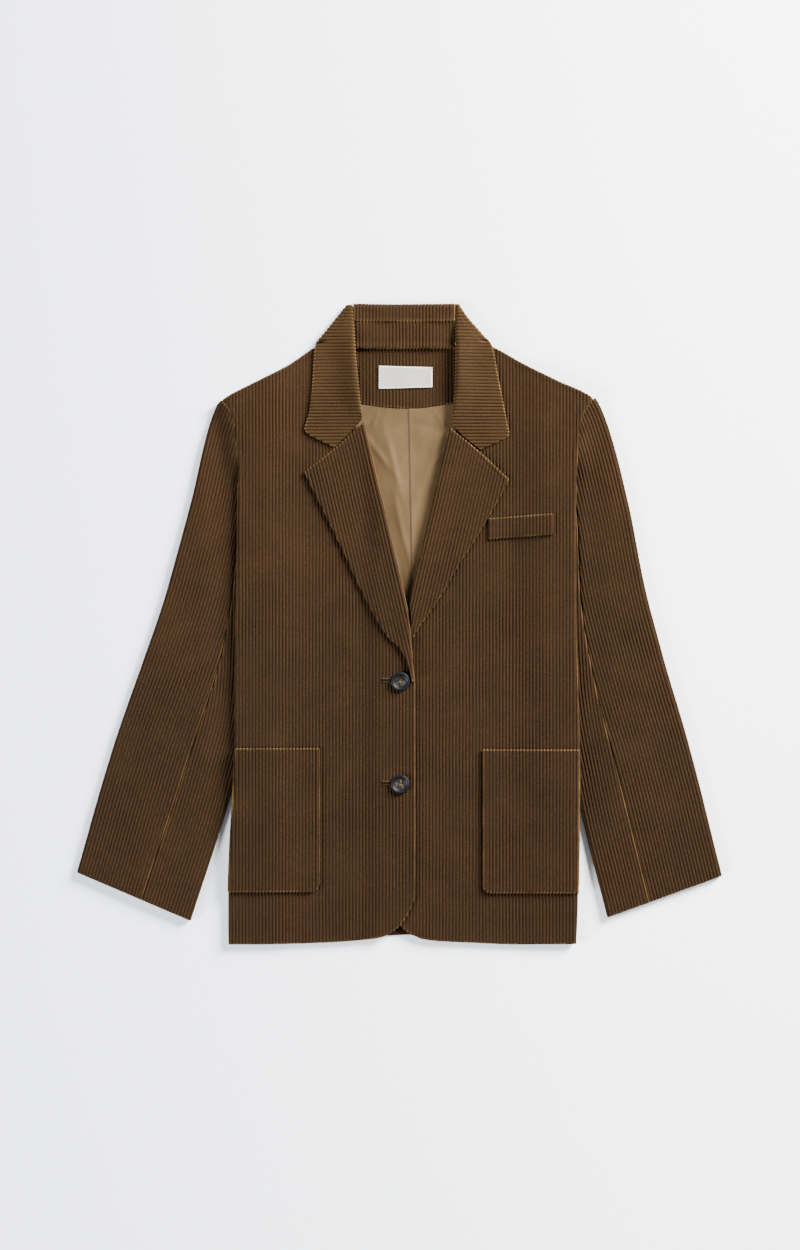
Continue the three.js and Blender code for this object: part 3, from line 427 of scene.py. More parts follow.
def wall(name, span, length, bottom, top, face, row_step, left=None, right=None, side=1, cloth=CLOTH,
         wales=None, stitch=None, open_v=(True, True), seed=1.0, plain_step=6.0):
    """A closed shell of cloth over columns of u and rows from bottom(u) to top(u), with its name and its
    measures. Its outside has wales, turned edges and a groove `stitch` in from topstitched edges."""
    plain, fine = columns_of(span, wales, plain_step)
    rows = spread(length, row_step)
    start, end = sides_of(span, rows, bottom, top, left, right)

    def grid(columns):
        u = np.clip(columns[None, :], start[:, None], end[:, None])
        t = rows[:, None] + 0 * u
        v = mix(bottom(u), top(u), t)
        if wales and columns is fine:
            reach = np.maximum(np.abs(top(u) - bottom(u)), 1)
            way = np.sign(top(u) - bottom(u))
            ends = open_v[1] * np.exp(-(1 - t) * reach / 1.2) - open_v[0] * np.exp(-t * reach / 1.2)
            v = v + way * ends * (ribs_at(u, v, wales, seed)[0] - 0.5)
        du = np.stack(face(u + SLOPE_STEP, v)) - np.stack(face(u - SLOPE_STEP, v))
        dv = np.stack(face(u, v + SLOPE_STEP)) - np.stack(face(u, v - SLOPE_STEP))
        normal = np.cross(du, dv, axis=0) * side
        normal /= np.maximum(np.linalg.norm(normal, axis=0), 1e-9)
        return u, v, t, np.stack(face(u, v)), normal

    u, v, t, place, normal = grid(fine)
    reach = np.abs(top(u) - bottom(u))
    from_u = np.minimum(u - start[:, None], end[:, None] - u)
    from_v = np.minimum(np.where(open_v[0], t * reach, FAR), np.where(open_v[1], (1 - t) * reach, FAR))
    edge = np.maximum(np.minimum(from_u, from_v), 0)
    out, ridge = relief(u, v, normal, edge, cloth, wales, stitch, seed)
    outer = place + normal * out
    _, _, _, under, under_normal = grid(plain)
    inner = under - under_normal * (cloth - 0.05)
    points = np.concatenate([outer.reshape(3, -1).T, inner.reshape(3, -1).T])
    points[:, 2] = np.maximum(points[:, 2], OFF_FLOOR)

    # Real rubbing at cut edges and beside seams, plus a painted sheen on edges and wherever the surface tilts
    # away from straight up
    tilt_sheen = np.clip(1 - np.abs(normal[2]), 0, 1)
    seam_wear = 0.16 * bump_at(edge - (stitch or 0) - 1.6, 1.2) * bool(stitch)
    wear_and_sheen = np.clip(0.85 * bump_at(edge, 1.5) + seam_wear + tilt_sheen * 0.8, 0, 1.2)
    unworn = np.zeros(under[0].size)
    fields = {"ridge": np.append(ridge.ravel(), unworn), "wear_and_sheen": np.append(wear_and_sheen.ravel(), unworn)}
    piece = object_from(name + "_cloth", points, shell_faces(len(rows), fine, plain), fields)
    cells = np.cross(place[:, 1:, 1:] - place[:, :-1, :-1], place[:, 1:, :-1] - place[:, :-1, 1:], axis=0)
    area = float(np.linalg.norm(cells, axis=0).sum()) / 2
    return name, piece, float((end - start).max()), float(reach.max()), area


def dressed(made, material):
    """Gives a wall its material, hangs it on the root and hides the CAD piece it stands for."""
    node, piece, width, tall, area = made
    piece.data.materials.append(material)
    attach(piece, "root")
    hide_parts(node)


# Materials

def put(tree, socket, value):
    """Sets a socket to a value, or links another node's socket to it."""
    if isinstance(value, bpy.types.NodeSocket):
        tree.links.new(value, socket)
    else:
        socket.default_value = value


def node(tree, kind, inputs=None, **settings):
    """A shader node with its settings and its inputs."""
    made = tree.nodes.new("ShaderNode" + kind)
    for key, value in settings.items():
        setattr(made, key, value)
    for key, value in (inputs or {}).items():
        put(tree, made.inputs[key], value)
    return made


def nodes_of(name):
    """A new material, its node tree and a place on the object."""
    material = bpy.data.materials.new(name)
    material.use_nodes = True
    tree = material.node_tree
    return material, tree, node(tree, "TexCoord").outputs["Object"]


def shaded(material, colour, rough, more):
    """The material, with its shader's colour, roughness and more set."""
    tree = material.node_tree
    for key, value in {"Base Color": colour, "Roughness": rough, **more}.items():
        put(tree, tree.nodes["Principled BSDF"].inputs[key], value)
    return material


def srgb(red, green, blue):
    def linear_of(value):
        value /= 255
        return value / 12.92 if value < 0.04045 else ((value + 0.055) / 1.055) ** 2.4
    return (linear_of(red), linear_of(green), linear_of(blue), 1)


def maths(tree, operation, first, second=None):
    values = {i: value for i, value in enumerate((first, second)) if value is not None}
    return node(tree, "Math", values, operation=operation).outputs[0]


def times(tree, first, second):
    return maths(tree, "MULTIPLY", first, second)


def blend(tree, part, first, second, kind="MIX"):
    made = node(tree, "Mix", data_type="RGBA", blend_type=kind, clamp_factor=True)
    for key, value in (("Factor", part), ("A", first), ("B", second)):
        put(tree, next(socket for socket in made.inputs if socket.name == key and socket.enabled), value)
    return next(socket for socket in made.outputs if socket.enabled)


def field(tree, name):
    return node(tree, "Attribute", attribute_name=name).outputs["Fac"]


def noise(tree, place, scale, detail, rough, stretch=None, swirled=0):
    if stretch:
        place = node(tree, "Mapping", {"Vector": place, "Scale": stretch}).outputs[0]
    values = {"Vector": place, "Scale": scale, "Detail": detail, "Roughness": rough, "Distortion": swirled}
    return node(tree, "TexNoise", values).outputs["Fac"]


def ramp(tree, value, low, high, to_low=0.0, to_high=1.0):
    values = {"Value": value, "From Min": low, "From Max": high, "To Min": to_low, "To Max": to_high}
    return node(tree, "MapRange", values, clamp=True).outputs["Result"]


def bumpy(tree, height, strength, distance):
    values = {"Height": height, "Strength": strength, "Distance": distance}
    return node(tree, "Bump", values).outputs[0]


def corduroy(name, groove_shade, body, ridge_light, wear_and_sheen_colour):
    """Cotton corduroy: grooves darkened by painted shade, napped ridges lightened by a painted highlight,
    tips rubbed paler at edges with a painted sheen at edges and folds, and painted light that makes it
    lighter toward the neck.
    """
    material, tree, place = nodes_of(name)
    ridge = field(tree, "ridge")
    wear_and_sheen = field(tree, "wear_and_sheen")
    patches = noise(tree, place, 9, 3, 0.6)
    blotch = noise(tree, place, 38, 4, 0.62)
    fibre = noise(tree, place, 900, 2, 0.7)
    nap = noise(tree, place, 400, 3, 0.7)
    broad = ramp(tree, noise(tree, place, 15, 2, 0.5), 0.36, 0.62, 0.45, 1.0)
    narrow = ramp(tree, noise(tree, place, 150, 3, 0.6), 0.32, 0.6, 0.55, 1.0)
    closed = maths(tree, "MAXIMUM", times(tree, broad, narrow), ramp(tree, wear_and_sheen, 0.05, 0.5))
    # Painted shade: the grooves between wales darken toward the groove colour
    groove_shade_part = maths(tree, "SUBTRACT", 1.0, times(tree, closed, ramp(tree, ridge, 0.8, 0.05)))
    colour = blend(tree, groove_shade_part, groove_shade, body)
    # Painted highlight: the napped wale tips lighten toward the ridge colour
    crest_light = times(tree, ramp(tree, ridge, 0.45, 1.0), ramp(tree, nap, 0.32, 0.7))
    colour = blend(tree, times(tree, crest_light, 0.8), colour, ridge_light)
    # Painted light: the cloth grows lighter and yellower toward the neck
    painted_light_to_neck = node(tree, "SeparateXYZ", {"Vector": place}).outputs[1]
    painted_light_to_neck = maths(tree, "ADD", painted_light_to_neck, times(tree, patches, 0.15))
    colour = blend(tree, ramp(tree, painted_light_to_neck, 0.0, 0.42, 0.0, 0.2), colour, ridge_light)
    # Paler rubbed tips at edges, with a painted sheen at edges and folds
    rubbed_and_sheen = times(tree, ramp(tree, wear_and_sheen, 0.12, 1.0), ramp(tree, ridge, 0.35, 0.95))
    rubbed_and_sheen = times(tree, rubbed_and_sheen, ramp(tree, blotch, 0.36, 0.62, 0.3, 1.0))
    colour = blend(tree, times(tree, rubbed_and_sheen, 0.8), colour, wear_and_sheen_colour)
    warm = blend(tree, ramp(tree, patches, 0.38, 0.62), srgb(152, 142, 106), srgb(160, 136, 112))
    colour = blend(tree, 0.36, colour, warm, "OVERLAY")
    uneven = maths(tree, "ADD", times(tree, blotch, 0.6), times(tree, patches, 0.4))
    for value in (ramp(tree, uneven, 0.34, 0.66, 0.87, 1.11), ramp(tree, fibre, 0.3, 0.72, 0.62, 1.36)):
        values = {"Color": colour, "Value": value, "Fac": 1.0}
        colour = node(tree, "HueSaturation", values).outputs[0]
    height = maths(tree, "ADD", times(tree, nap, 0.7), times(tree, fibre, 0.5))
    return shaded(material, colour, ramp(tree, nap, 0.3, 0.7, 0.78, 0.95), {
        "Sheen Weight": 0.02, "Sheen Roughness": 0.45, "Sheen Tint": srgb(206, 184, 138),
        "Specular IOR Level": 0.06, "Normal": bumpy(tree, height, 0.55, 0.0005)})


def satin():
    """Tan satin of the lining, with a painted shadow as a dark line along its pleat."""
    material, tree, place = nodes_of("lining_satin")
    soft = noise(tree, place, 14, 3, 0.55, (1.6, 0.6, 1))
    weave = noise(tree, place, 1500, 1, 0.5, (1, 0.12, 1))
    colour = blend(tree, ramp(tree, soft, 0.3, 0.7), srgb(57, 41, 20), srgb(79, 60, 31))
    colour = blend(tree, ramp(tree, weave, 0.35, 0.65, 0.0, 0.18), colour, srgb(58, 41, 24))
    # Painted shadow: a dark line beside the pleat's fold
    parts = node(tree, "SeparateXYZ", {"Vector": place})
    pleat = maths(tree, "ADD", parts.outputs[0], times(tree, parts.outputs[1], PLEAT["lean"]))
    pleat_shadow_x = PLEAT["x"] + PLEAT["lean"] * PLEAT["at_y"] - 0.6
    from_pleat_shadow = maths(tree, "ABSOLUTE", maths(tree, "SUBTRACT", pleat, pleat_shadow_x * MM))
    colour = blend(tree, ramp(tree, from_pleat_shadow, 1.1 * MM, 0.3 * MM, 0.0, 0.75), colour, srgb(44, 30, 18))
    return shaded(material, colour, ramp(tree, soft, 0.3, 0.7, 0.48, 0.62), {
        "Sheen Weight": 0.06, "Specular IOR Level": 0.25,
        "Normal": bumpy(tree, times(tree, weave, 0.4), 0.25, 0.0003)})


def label_cloth():
    """Off-white woven label without any mark on it, with a painted highlight along its edges."""
    material, tree, place = nodes_of("label_cloth")
    weave = noise(tree, place, 1400, 2, 0.5, (1, 0.3, 1))
    soft = noise(tree, place, 40, 2, 0.5)
    colour = blend(tree, ramp(tree, weave, 0.3, 0.7), srgb(128, 127, 121), srgb(158, 157, 150))
    colour = blend(tree, ramp(tree, soft, 0.4, 0.7, 0.0, 0.25), colour, srgb(118, 116, 108))
    # Painted highlight along the label's edges
    colour = blend(tree, ramp(tree, field(tree, "wear_and_sheen"), 0.1, 0.6, 0.0, 0.8), colour, srgb(188, 187, 181))
    rough = ramp(tree, weave, 0.3, 0.7, 0.55, 0.72)
    return shaded(material, colour, rough, {"Normal": bumpy(tree, weave, 0.3, 0.0002)})


def horn():
    """Dark slate button with a pale cloudy swirl about its middle."""
    material, tree, place = nodes_of("button_horn")
    swirl = noise(tree, place, 95, 4, 0.6, swirled=2.4)
    middle = ramp(tree, field(tree, "radius"), 0.66, 0.3)
    cloud = times(tree, ramp(tree, swirl, 0.44, 0.66), middle)
    colour = blend(tree, cloud, srgb(9, 10, 13), srgb(66, 61, 51))
    colour = blend(tree, ramp(tree, swirl, 0.5, 0.3, 0.0, 0.5), colour, srgb(18, 21, 26))
    rough = ramp(tree, swirl, 0.3, 0.7, 0.44, 0.55)
    return shaded(material, colour, rough, {"Specular IOR Level": 0.09})


def thread(name, colour):
    """Twisted thread, darker between its strands with painted shade."""
    material, tree, place = nodes_of(name)
    twist = noise(tree, place, 1800, 1, 0.5)
    strand_shade = tuple(0.6 * part for part in colour[:3]) + (1,)
    colour = blend(tree, ramp(tree, twist, 0.3, 0.7), colour, strand_shade)
    rough = ramp(tree, twist, 0.3, 0.7, 0.6, 0.8)
    return shaded(material, colour, rough, {"Specular IOR Level": 0.08})


# Tones of one corduroy: painted shade for the grooves, the nap's own colour, a painted highlight for the
# ridges
GROOVE_SHADE, NAP, RIDGE_LIGHT = srgb(8, 5, 2), srgb(30, 19, 8), srgb(50, 34, 17)
# The last colour of each is that of rubbed tips and of the painted sheen
body_cord = corduroy("corduroy_body", GROOVE_SHADE, NAP, RIDGE_LIGHT, srgb(104, 81, 48))
sleeve_cord = corduroy("corduroy_sleeve", GROOVE_SHADE, NAP, RIDGE_LIGHT, srgb(84, 64, 37))
collar_cord = corduroy(
    "corduroy_collar", srgb(10, 6, 2), srgb(37, 25, 11), srgb(57, 41, 22), srgb(114, 90, 56))
lining_satin = satin()
label_material = label_cloth()
button_material = horn()
sewing_thread = thread("sewing_thread", srgb(64, 47, 31))
label_thread = thread("label_thread", srgb(206, 202, 190))
hole_thread = thread("buttonhole_thread", srgb(52, 39, 21))
# Painted shadow of the buttonholes' slits
slit_shadow = thread("buttonhole_slit_shadow", srgb(12, 8, 6))


def cord(made, material=body_cord):
    """Dresses a wall as corduroy."""
    dressed(made, material)


# The body

BODY_SLACK = FOLD_SLACK * BODY_FOLD


def turned_under(y):
    """How far a front's side goes round to the back: 0 above the armpit, 1 below."""
    return ease((ARMPIT_Y - y) / (ARMPIT_Y - SEAM_TOP_Y))


def side_run(y):
    return mix(BODY_SLACK, -(SIDE_WRAP + BODY_SLACK), turned_under(y))


def front_face(outward, side_x, lap, out=0):
    """A front's outer face, folded round its side; `out` puts a piece on it that far above."""
    def face(u, v):
        edge = side_x(v)
        inset, down = fold(outward * (edge - u) + BODY_SLACK, BODY_FOLD)
        x = edge - outward * inset
        height = front_top(x, v, lap(x)) - FRONT_FACE * down + out * (1 - 2 * down)
        return x + outward * out * np.minimum(1, 2 * down), v, height
    return face


cord(
    wall("right_front", (-264, 20), 660, curve(right_front_hem), curve(right_front_top),
         front_face(-1, right_side_x, right_lap),
         left=lambda v: right_side_x(v) + side_run(v) - BODY_SLACK,
         wales=(-212, 20), row_step=6.5, stitch=7, seed=1.3))
cord(
    wall("left_front", (-16, 274), 660, curve(left_front_hem), curve(left_front_top),
         front_face(1, left_side_x, no_lap), right=lambda v: left_side_x(v) - side_run(v) + BODY_SLACK,
         wales=(-16, 230), row_step=6.5, stitch=7, seed=2.9))


def under_back(y):
    return SIDE_WRAP * turned_under(y - BACK_CLEAR) + SIDE_SEAM_ROOM


cord(
    wall("back", (-216, 237), 710, curve(back_hem), curve(back_top),
         lambda u, v: (u, v, lift(u, v) + CLOTH), left=lambda y: right_side_x(y) + under_back(y),
         right=lambda y: left_side_x(y) - under_back(y), row_step=14))


# Sleeves

class SleeveForm:
    """Where a sleeve lies, how high its top stands and where its hidden end is."""

    def __init__(self, rows, outward, side_x):
        self.rows = rows
        self.outward = outward
        self.side_x = side_x
        self.at = {key: curve(rows, "at", key) for key in rows if key != "at"}

    def width(self, s):
        at = self.at
        return np.hypot(at["inner_x"](s) - at["outer_x"](s), at["inner_y"](s) - at["outer_y"](s))

    def plan(self, inset, s):
        part = inset / self.width(s)
        return [mix(self.at["outer_" + way](s), self.at["inner_" + way](s), part) for way in "xy"]

    def top(self, x, y):
        outside = self.outward * (x - self.side_x(y))
        crease = creased(SLEEVE_CREASES, x, y) + 0.25 * wander(x, y, 34, 6)
        lies = mix(SLEEVE_TUCKED, SLEEVE_FREE, ease((outside - 14) / 30)) + crease * ease((outside - 4) / 14)
        seam = TUCK_LIFT + FRONT_FACE - 0.5
        joined = ease((y - ARMPIT_Y - 4) / 26) * bump_at(np.maximum(outside, 0), 13)
        gathers = 0.5 * np.sin(y / 4.6 + 1.2 * np.sin(y / 19)) * joined
        return mix(lies, np.maximum(lies, seam), joined) + gathers

    def end(self, inset):
        """Where the sleeve ends under the body, or at the armhole seam."""
        def in_sight(s):
            x, y = self.plan(inset, s)
            inside = self.outward * (self.side_x(y) - x)
            hidden = ARMPIT_Y - 2 - HIDDEN_SLOPE * np.maximum(0, inside)
            return np.where(y > ARMPIT_Y - 2, inside - ARMHOLE_TUCK, y - hidden) < 0

        near, far = (np.full(np.shape(inset), self.rows["at"][i]) for i in (2, -1))
        return halved(near, far, in_sight)[0]


OUTER_SLACK = FOLD_SLACK * OUTER_FOLD
INNER_SLACK = FOLD_SLACK * INNER_FOLD


def sleeve_face(form, radius, inset_at):
    def face(u, s):
        inset, down = fold(u, radius)
        x, y = form.plan(inset_at(inset, s), s)
        return x, y, form.top(x, y) * (1 - down)
    return face


def top_sleeve(name, form, seed):
    made = wall(
        name, (-(BACK_SEAM + OUTER_SLACK), 94), 500, level(0),
        lambda u: form.end(np.maximum(fold(u, OUTER_FOLD)[0], 0.4)),
        sleeve_face(form, OUTER_FOLD, lambda inset, s: inset),
        right=lambda s: form.at["seam"](s) - SEAM + OUTER_SLACK,
        side=-form.outward, wales=(-4, 94), row_step=6.5, seed=seed)
    cord(made, sleeve_cord)


def under_sleeve(name, form, seed):
    made = wall(
        name, (-150, 96), 500, level(0),
        lambda u: form.end(form.width(SLEEVE_END_AT) - fold(u, INNER_FOLD)[0]),
        sleeve_face(form, INNER_FOLD, lambda inset, s: form.width(s) - inset),
        left=lambda s: -(form.width(s) - BACK_SEAM - 1 + INNER_SLACK),
        right=lambda s: form.width(s) - form.at["seam"](s) - SEAM + INNER_SLACK,
        side=form.outward, wales=(-4, 96), row_step=6.5, seed=seed)
    cord(made, sleeve_cord)


right_form = SleeveForm(right_sleeve, -1, right_side_x)
left_form = SleeveForm(left_sleeve, 1, left_side_x)
top_sleeve("right_top_sleeve", right_form, 4.1)
under_sleeve("right_under_sleeve", right_form, 5.3)
top_sleeve("left_top_sleeve", left_form, 6.7)
under_sleeve("left_under_sleeve", left_form, 7.9)


# Lapels and collar

def lapel(name, roll, top_edge, outer_edge, apex_rows, lap, seed):
    start, end = np.array(roll["start"], float), np.array(roll["end"], float)
    along = (end - start) / np.linalg.norm(end - start)
    out = np.array([-along[1], along[0]]) * roll["out"]
    apex = curve(apex_rows, "s", "a")

    def face(u, s):
        inset, down = fold(u - apex(s) + FOLD_SLACK * LAPEL_ROLL, LAPEL_ROLL)
        a = apex(s) + inset
        x, y = (start[i] + along[i] * s + out[i] * a for i in (0, 1))
        rise = LAPEL_RISE * bump_at(inset, 14)
        ripple = 0.16 * np.sin(s / 3.3 + 1.5 * np.sin(s / 17) + a / 9) * bump_at(inset - 16, 18)
        ripple = ripple * (0.5 + 0.5 * wander(s, a, 24, seed))
        return x, y, front_top(x, y, lap(x)) + ON_TOP + EASE + rise + ripple - 2 * LAPEL_ROLL * down

    wrap = 2 * QUARTER * LAPEL_ROLL + WRAP_END - (QUARTER - FOLD_SLACK) * LAPEL_ROLL
    made = wall(
        name, (-12, 82.5), 250, curve(top_edge, "a", "s"), curve(outer_edge, "a", "s"), face,
        left=lambda s: apex(s) - wrap + 2 * LAPEL_ROLL, side=-roll["out"],
        wales=(-6, 82.5), row_step=3.5, stitch=6, seed=seed, plain_step=3.0)
    cord(made)


lapel("right_lapel", right_roll, right_lapel_top, right_lapel_edge, right_apex, right_lap, 8.3)
lapel("left_lapel", left_roll, left_lapel_top, left_lapel_edge, left_apex, no_lap, 9.1)


def leaf(name, rows, outward, lap, seed):
    at = {key: curve(rows, "y", key) for key in rows if key != "y"}

    def past(radius):
        """How much cloth goes round a fold of that radius and on beneath it."""
        return np.where(radius < 0.3, 0, 2 * (QUARTER - 1) * radius + WRAP_END + radius * 0.6)

    def face(u, v):
        out_x, in_x, turn, roll = at["outer"](u), at["inner"](u), at["turn"](u), at["roll"](u)
        from_out, from_in = outward * (out_x - v), outward * (v - in_x)
        outer = from_out < from_in
        radius = np.where(outer, turn, roll)
        inset, down = fold(np.where(outer, from_out, from_in) + FOLD_SLACK * radius, radius)
        x = np.where(outer, out_x - outward * inset, in_x + outward * inset)
        rest = front_top(x, u, lap(x)) + ON_TOP - 1.8 * ease((u - 345) / 35)
        rise = np.maximum(at["stands"](u) - rest, 0) * bump_at(outward * (x - in_x), 20)
        limit = np.where(outer & (turn > NO_FOLD), 2 * turn, rest + rise)
        height = mix(limit, rest + rise, ease(np.minimum(from_out, from_in * 4) / 14))
        return u, x, height - 2 * radius * down

    def swapped(u, v):
        y, x, z = face(u, v)
        return x, y, z

    def outer_edge(u):
        return at["outer"](u) + outward * past(at["turn"](u))

    def inner_edge(u):
        return at["inner"](u) - outward * past(at["roll"](u))

    first, last = rows["y"][[0, -1]]
    edges = (outer_edge, inner_edge) if outward < 0 else (inner_edge, outer_edge)
    made = wall(
        name, (first, last), 70, *edges, swapped, side=-1, wales=(first, last), row_step=1.6, seed=seed,
        plain_step=4.0, open_v=(outward < 0, outward > 0))
    cord(made, collar_cord)


leaf("collar_right_leaf", right_leaf, -1, no_lap, 10.7)
leaf("collar_left_leaf", left_leaf, 1, no_lap, 11.9)
right_leaf_inner = curve(right_leaf, "y", "inner")
left_leaf_inner = curve(left_leaf, "y", "inner")


def from_right_leaf(y):
    return right_leaf_inner(y) + LEAF_CLEAR


def to_left_leaf(y):
    return left_leaf_inner(y) - LEAF_CLEAR


def collar_back_face(u, v):
    """The collar behind the neck: a band, a seam's ridge below it, and the fall turned under."""
    inset, down = fold(v + FOLD_SLACK * COLLAR_TURN, COLLAR_TURN)
    sag = 1.2 * np.sin((u + 50) / 38) * ease(inset / 12) + 1.1 * wander(u, 3 * v, 13, 21)
    ridge = 0.9 * bump_at(v - (COLLAR_TOP_Y - COLLAR_BAND_Y) + 1.2, 1.6)
    dip = 0.9 * (1 - np.cos((u - 6) / 34)) - 0.25 * wander(u, v, 17, 22)
    height = 2 * COLLAR_TURN + 0.3 * sag + ridge
    return u + 0 * v, COLLAR_TOP_Y - inset + 0.6 * dip - 0.9, height * (1 - down)


def stand_face(u, v):
    up = v - NECK_SEAM_Y
    roll = 1.9 * bump_at(up - 2.5, 3.2) + 0.45 * wander(u, 2 * v, 12, 23)
    height = mix(7.2, 2 * COLLAR_TURN - 0.4, ease(up / 32)) + roll
    return u + 0 * v, v + 0 * u + 0.3 * wander(u, 0 * v, 14, 24), height


cord(
    wall("collar_back", (-55, 67.5), 70,
         level(-(COLLAR_TOP_Y - FALL_EDGE_Y + 2 * FOLD_SLACK * COLLAR_TURN)),
         level(COLLAR_TOP_Y - COLLAR_BAND_Y), collar_back_face,
         left=lambda v: from_right_leaf(collar_back_face(0 * v, v)[1]),
         right=lambda v: to_left_leaf(collar_back_face(0 * v, v)[1]),
         side=-1, wales=(-55, 67.5), row_step=2, seed=12.4))
# The stand, like the facing, takes the body's darker corduroy and not the collar's paler one, as painted
# shade under the collar band
cord(
    wall("collar_stand", (-55, 68), 33, level(NECK_SEAM_Y), level(COLLAR_BAND_Y - SEAM), stand_face,
         left=from_right_leaf, right=to_left_leaf, cloth=THIN_CLOTH, wales=(-55, 68), row_step=2,
         seed=13.2))


# Back neck, label and lining

facing_bottom = curve(facing_edge)


def facing_uneven(u, v):
    return 0.25 * wander(u, v, 16, 3)


cord(
    wall("back_neck_facing", (-56, 70), 68, facing_bottom, level(NECK_SEAM_Y - SEAM),
         lambda u, v: (u + 0 * v, v + 0 * u, lift(u, v) + FACING_LIFT + facing_uneven(u, v)),
         left=from_right_leaf, right=to_left_leaf, cloth=THIN_CLOTH, wales=(-56, 70), row_step=3,
         seed=14.6))


def label_slant(x):
    return LABEL["slope"] * (LABEL["left"] - x)


def label_face(u, v):
    wave = 0.35 * np.sin(u / 9.0) * bump_at(v - LABEL["bottom"], 9)
    lies = FACING_LIFT + WALE_HEIGHT + SEAM + LABEL_CLOTH + 0.4
    return u + 0 * v, v + 0 * u, lies + wave + facing_uneven(u, v)


dressed(
    wall("neck_label", (LABEL["left"], LABEL["right"]), 28, lambda x: LABEL["bottom"] - label_slant(x),
         lambda x: LABEL["top"] + label_slant(x), label_face, cloth=LABEL_CLOTH, row_step=1.5,
         plain_step=1.5),
    label_material)

lining_lower = table(
    "x y", (-54, 246), (-28, 133), (-8, 49), (6, -8), (12, -12), (18, -4), (32, 60), (48, 127), (73, 240))
LINING_CREASES = table(
    CREASE,
    (-6, 190, 40, 4, 1.9, 1.7), (30, 180, 44, 5, 1.25, 1.5), (-14, 236, 26, 5, 0.35, -1.0),
    (38, 236, 26, 5, 2.8, -1.0), (6, 110, 50, 4, 1.75, 1.4), (26, 120, 46, 4, 1.4, -1.0),
    (-24, 205, 30, 4, 2.3, 1.3), (50, 205, 30, 4, 0.9, 1.3), (0, 60, 40, 4, 1.7, -0.8),
    (-30, 245, 12, 3, 1.1, 1.2), (52, 244, 12, 3, 2.1, 1.2), (18, 215, 30, 3.5, 1.0, 1.1))


def lining_face(u, v):
    past = u - PLEAT["x"] - PLEAT["lean"] * (PLEAT["at_y"] - v)
    pleat = 0.8 * ease((past + 0.9) / 0.9) * np.exp(-np.maximum(past, 0) / 7)
    uneven = 0.5 * creased(LINING_CREASES, u, v) + 0.15 * wander(u, v, 11, 4)
    return u + 0 * v, v + 0 * u, lift(u, v) + LINING_LIFT + pleat + uneven


dressed(
    wall("back_lining", (-54, 73), 250, curve(lining_lower), lambda x: facing_bottom(x) - 0.5,
         lining_face, cloth=LINING_CLOTH, row_step=2.5, plain_step=1.0, open_v=(False, True)),
    lining_satin)


# Pockets and welt

def pocket(name, spec, outward, side_x, lap, span, seed):
    def bottom(x):
        into = spec["corner"] - np.abs(x - spec["inner"])
        drop = np.where(into > 0, spec["corner"] - np.sqrt(np.maximum(spec["corner"] ** 2 - into ** 2, 0)), 0)
        return spec["bottom"] + drop

    def wrapped(y):
        return side_x(y) + outward * 0.5

    made = wall(
        name, span, 172, bottom, level(spec["top"]),
        front_face(outward, side_x, lap, ON_TOP + POCKET_EASE),
        left=wrapped if outward < 0 else None, right=wrapped if outward > 0 else None,
        wales=span, row_step=3.5, stitch=5.5, seed=seed, plain_step=4.0)
    cord(made)


pocket("right_pocket", right_pocket, -1, right_side_x, right_lap, (-206, -95), 15.8)
pocket("left_pocket", left_pocket, 1, left_side_x, no_lap, (100, 218), 16.5)


def welt_top(x):
    return WELT["top"] + WELT["slope"] * (x - WELT["left"])


cord(
    wall("breast_welt", (WELT["left"], WELT["right"]), 25, lambda x: welt_top(x) - WELT["height"], welt_top,
         front_face(1, left_side_x, no_lap, ON_TOP), wales=(WELT["left"], WELT["right"]), row_step=1.5,
         seed=17.7, plain_step=4.0))


# Buttons

def hole_places(turn):
    """Where a button's four holes are, from its middle."""
    angles = [turn + math.pi / 4 + i * QUARTER for i in range(4)]
    return [(BUTTON_HOLES_AT * math.cos(angle), BUTTON_HOLES_AT * math.sin(angle)) for angle in angles]


def turned_blank(name):
    """A button as it comes from the lathe: raised rim, dished middle, no holes."""
    work = bmesh.new()
    rings = []
    for r, z in BUTTON_PROFILE:
        sides = BUTTON_SIDES if r else 1
        angles = [2 * math.pi * i / BUTTON_SIDES for i in range(sides)]
        rings.append([work.verts.new((r * math.cos(angle), r * math.sin(angle), z)) for angle in angles])
    for low, high in zip(rings, rings[1:]):
        for i in range(BUTTON_SIDES):
            j = (i + 1) % BUTTON_SIDES
            inner = [low[0]] if len(low) == 1 else [low[i], low[j]]
            work.faces.new([inner[0], high[i], high[j]] + inner[1:])
    work.faces.new(rings[-1])
    mesh = bpy.data.meshes.new(name)
    work.to_mesh(mesh)
    work.free()
    return placed(name, mesh)


def hole_cutter(turn):
    """The four holes as one object."""
    cutters = []
    for x, y in hole_places(turn):
        bpy.ops.mesh.primitive_cylinder_add(
            vertices=24, radius=BUTTON_HOLE_RADIUS, depth=8, location=(x, y, 1))
        cutters.append(bpy.context.object)
    bpy.ops.object.select_all(action="DESELECT")
    for cutter in cutters:
        cutter.select_set(True)
    bpy.context.view_layer.objects.active = cutters[0]
    bpy.ops.object.join()
    return bpy.context.object


def front_height(x, y):
    """How high the right front's grooves lie."""
    x, y = np.array(float(x)), np.array(float(y))
    return float(front_top(x, y, right_lap(x)))


